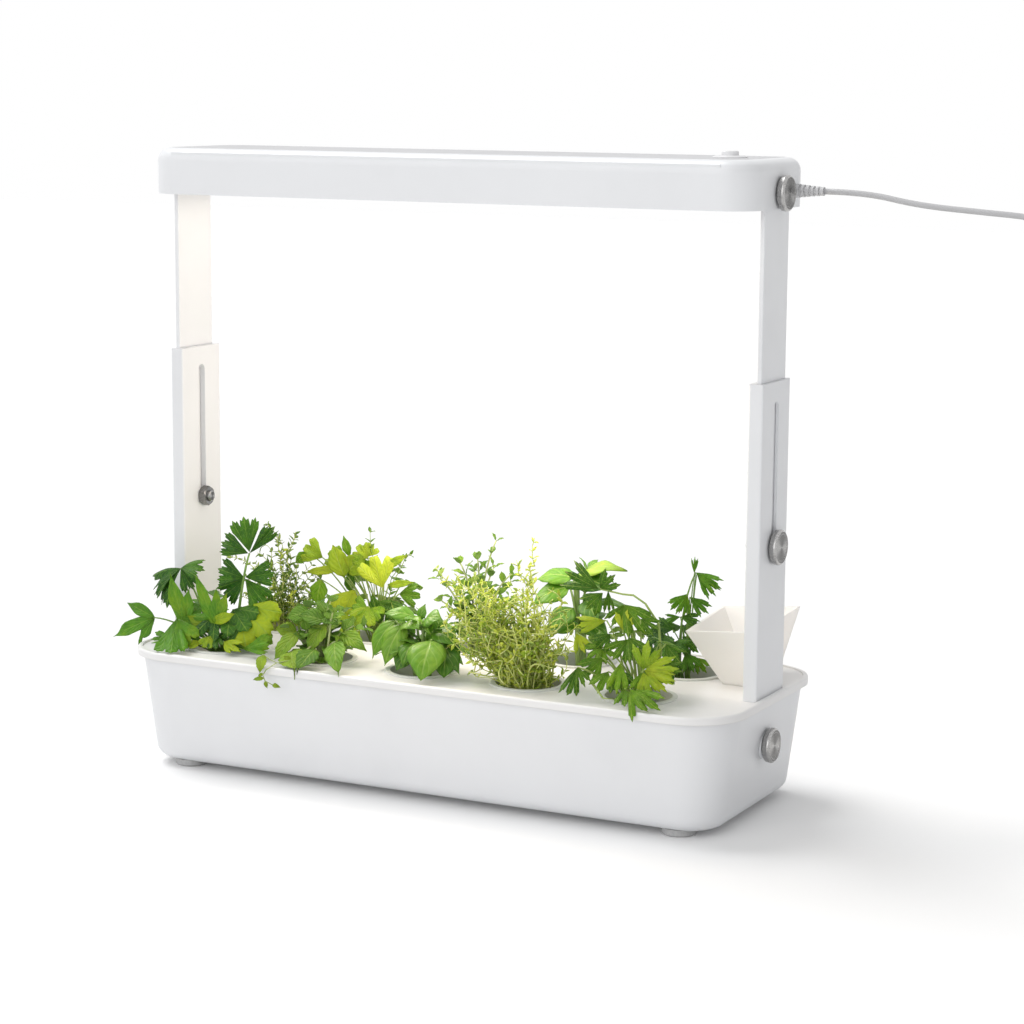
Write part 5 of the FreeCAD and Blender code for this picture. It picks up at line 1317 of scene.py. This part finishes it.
def make_back_4():
    """Basil with large smooth leaves, the top one pale and arched."""
    plant = Plant("back_4", "basil_leaf", 81)
    for base, tip, width, tint, up in (
            ((-4, 0, 62), (36, 0, 70), 20, 0.80, (0, -0.35, 1)),
            ((-2, -2, 60), (28, -8, 56), 20, 0.12, (0.1, -0.7, 0.8)),
            ((-6, 0, 60), (-38, 2, 56), 20, 0.45, (0, -0.5, 1)),
            ((-8, -2, 54), (-34, -12, 40), 19, 0.35, (-0.1, -0.8, 0.7)),
            ((2, 4, 56), (10, 34, 54), 19, 0.40, (0, 0.4, 1)),
            ((-4, 4, 54), (-24, 28, 46), 19, 0.35, (-0.2, 0.4, 1)),
            ((6, -4, 46), (24, -22, 34), 18, 0.15, (0.2, -0.8, 0.6)),
            ((8, 2, 44), (36, 10, 38), 18, 0.30, (0.3, 0, 1)),
            ((-2, -8, 40), (-12, -26, 26), 18, 0.25, (0, -0.9, 0.5)),
            ((0, 0, 30), (28, -10, 20), 18, 0.25, (0.2, -0.7, 0.7)),
            ((0, 0, 28), (-28, -8, 20), 18, 0.30, (-0.2, -0.7, 0.7)),
            ((0, 2, 26), (6, 28, 20), 18, 0.30, (0, 0.5, 1))):
        plant.stalked_blade(base, tip, width, tint, up, BASIL)
    plant.leafy_stem((4, 2, 66), 20, 14, pairs=3, tint=0.4, style=BASIL, thick=1.4)
    plant.finish()


def make_front_5():
    """Celery with dark lobed leaves on an arched stalk, brighter ones that droop to the rim."""
    plant = Plant("front_5", "celery_leaf", 91)
    facing = (0.32, -0.92, 0.22)
    arch = [plant.at(place) for place in ((6, -2, -8), (12, -2, 12), (16, 0, 32), (14, 0, 52), (4, 0, 65),
                                          (-5, 0, 70), (-13, 0, 70), (-30, 0, 72))]
    plant.stem(arch, 1.1 * MM, 0.6 * MM)
    for base, tip, spread, tint in (
            ((-31, 0, 72), (-58, 0, 82), 30, 0.06), ((-30, 0, 72), (-19, 0, 83), 44, 0.10),
            ((-27, -2, 70), (-40, -4, 57), 40, 0.12), ((-23, -2, 72), (-21, -4, 56), 20, 0.08)):
        plant.placed_fan(base, tip, spread, tint, facing, dict(PARSLEY, narrow=0.02))
    for base, tip, spread, tint in (
            ((-10, -4, 64), (8, -8, 46), 40, 0.16), ((-10, -4, 64), (-18, -8, 48), 34, 0.20),
            ((-22, -6, 52), (-46, -8, 46), 22, 0.92), ((-43, -10, 42), (-36, -10, 28), 36, 0.86),
            ((-9, -8, 47), (-6, -8, 61), 50, 0.88), ((12, -20, 24), (15, -20, 44), 46, 0.60),
            ((15, -24, 25), (40, -26, 29), 30, 0.84), ((15, -25, 25), (37, -27, 18), 26, 0.72),
            ((15, -27, 24), (24, -34, 8), 36, 0.64), ((14, -27, 24), (12, -33, 10), 30, 0.50),
            ((10, -36, 14), (28, -50, -1), 32, 0.30), ((5, -34, 13), (10, -46, 3), 40, 0.22),
            ((15, -36, 14), (35, -47, 4), 34, 0.44), ((-3, -24, 28), (-1, -35, 9), 30, 0.42),
            ((-34, -26, 22), (-37, -37, 2), 26, 0.14), ((-34, -26, 22), (-26, -32, 11), 34, 0.30),
            ((-20, -16, 28), (-33, -22, 14), 42, 0.26), ((-17, -10, 44), (-28, -12, 32), 42, 0.18),
            ((-3, -12, 42), (-13, -16, 27), 44, 0.20), ((-2, -14, 44), (10, -18, 30), 40, 0.14),
            ((22, -6, 40), (34, -10, 30), 42, 0.16), ((-14, -20, 20), (-16, -32, 8), 44, 0.20),
            ((4, -8, 56), (18, -8, 50), 34, 0.24), ((-8, -18, 22), (2, -30, 10), 42, 0.10)):
        plant.stalk(base, 7, 0.8, 0.5, steps=8)
        plant.placed_fan(base, tip, spread, plant.shade(tint), facing, PARSLEY)
    for node, tip, size, tint, up in (
            ((-10, 8, 44), (-14, 20, 38), 15, 0.25, (0, 0.4, 1)),
            ((12, 8, 38), (24, 16, 32), 15, 0.25, (0.3, 0.2, 1)),
            ((-28, 6, 38), (-39, 12, 32), 14, 0.30, (-0.2, 0.2, 1)),
            ((-24, -8, 34), (-34, -14, 26), 13, 0.22, (-0.1, -0.8, 0.5)),
            ((20, -8, 24), (32, -14, 16), 14, 0.18, (0.3, -0.8, 0.5)),
            ((0, 14, 22), (4, 26, 14), 14, 0.30, (0.1, 0.5, 1))):
        plant.compound(node, tip, size, pairs=1, style=PARSLEY, tint=tint, up=up, angle=70)
    stray = [plant.at(place) for place in ((-25, -24, 13), (-18, -29, 9), (-11, -34, 4), (-3, -30, 3))]
    plant.stem(stray, 0.9 * MM, 0.7 * MM)
    plant.finish()


def make_back_5():
    """Parsley with a tall arched sprig, clear of the hopper."""
    plant = Plant("back_5", "parsley_leaf", 101)
    facing = (0.28, -0.90, 0.30)
    arch = [plant.at(place) for place in ((-6, 0, -8), (-7, 0, 14), (-5, 0, 36), (-1, 0, 56), (2, 0, 66),
                                          (5, 0, 73))]
    plant.stem(arch, 1.0 * MM, 0.5 * MM)
    for base, tip, spread, tint in (
            ((4, 0, 72), (4, 0, 84), 18, 0.50), ((5, 0, 73), (25, -2, 64), 24, 0.42),
            ((6, 0, 72), (22, -3, 58), 22, 0.30), ((-1, 0, 57), (-14, -2, 44), 26, 0.50),
            ((-1, 0, 57), (-2, -3, 41), 24, 0.58), ((1, 0, 55), (16, -2, 45), 28, 0.32),
            ((-6, 0, 40), (-18, -2, 37), 26, 0.28), ((-6, 0, 40), (10, -3, 39), 26, 0.24),
            ((-10, -4, 31), (-25, -5, 33), 42, 0.08), ((-11, -4, 26), (-17, -6, 15), 42, 0.14),
            ((-4, 0, 26), (10, -5, 17), 44, 0.20), ((1, -6, 16), (10, -12, 4), 40, 0.34),
            ((-6, -8, 12), (-2, -15, 2), 42, 0.30), ((6, 0, 12), (17, -7, 4), 34, 0.62)):
        plant.stalk(base, 4, 0.6, 0.4, sag=0.2)
        plant.placed_fan(base, tip, spread, tint, facing, dict(PARSLEY, notch=0.38))
    for node, tip, size, tint in (
            ((-16, -6, 28), (-28, -13, 20), 13, 0.16), ((-8, -10, 24), (-10, -21, 13), 13, 0.22),
            ((-20, 4, 30), (-33, 8, 26), 13, 0.20), ((-8, 8, 32), (-10, 21, 25), 13, 0.24),
            ((-24, -4, 16), (-34, -12, 6), 12, 0.26), ((-14, 10, 16), (-23, 21, 8), 12, 0.22)):
        plant.compound(node, tip, size, root=(-6, 0, -10), pairs=1, style=PARSLEY, tint=tint, angle=68)
    plant.finish()


for rank in POT_Y:
    for column, place in enumerate(POT_X):
        make_sponge(f"{rank}_{column + 1}", place, POT_Y[rank])
for make_plant in (make_front_1, make_front_2, make_front_3, make_front_4, make_front_5,
                   make_back_1, make_back_2, make_back_3, make_back_4, make_back_5):
    make_plant()

bpy.context.scene.view_settings.view_transform = "Standard"
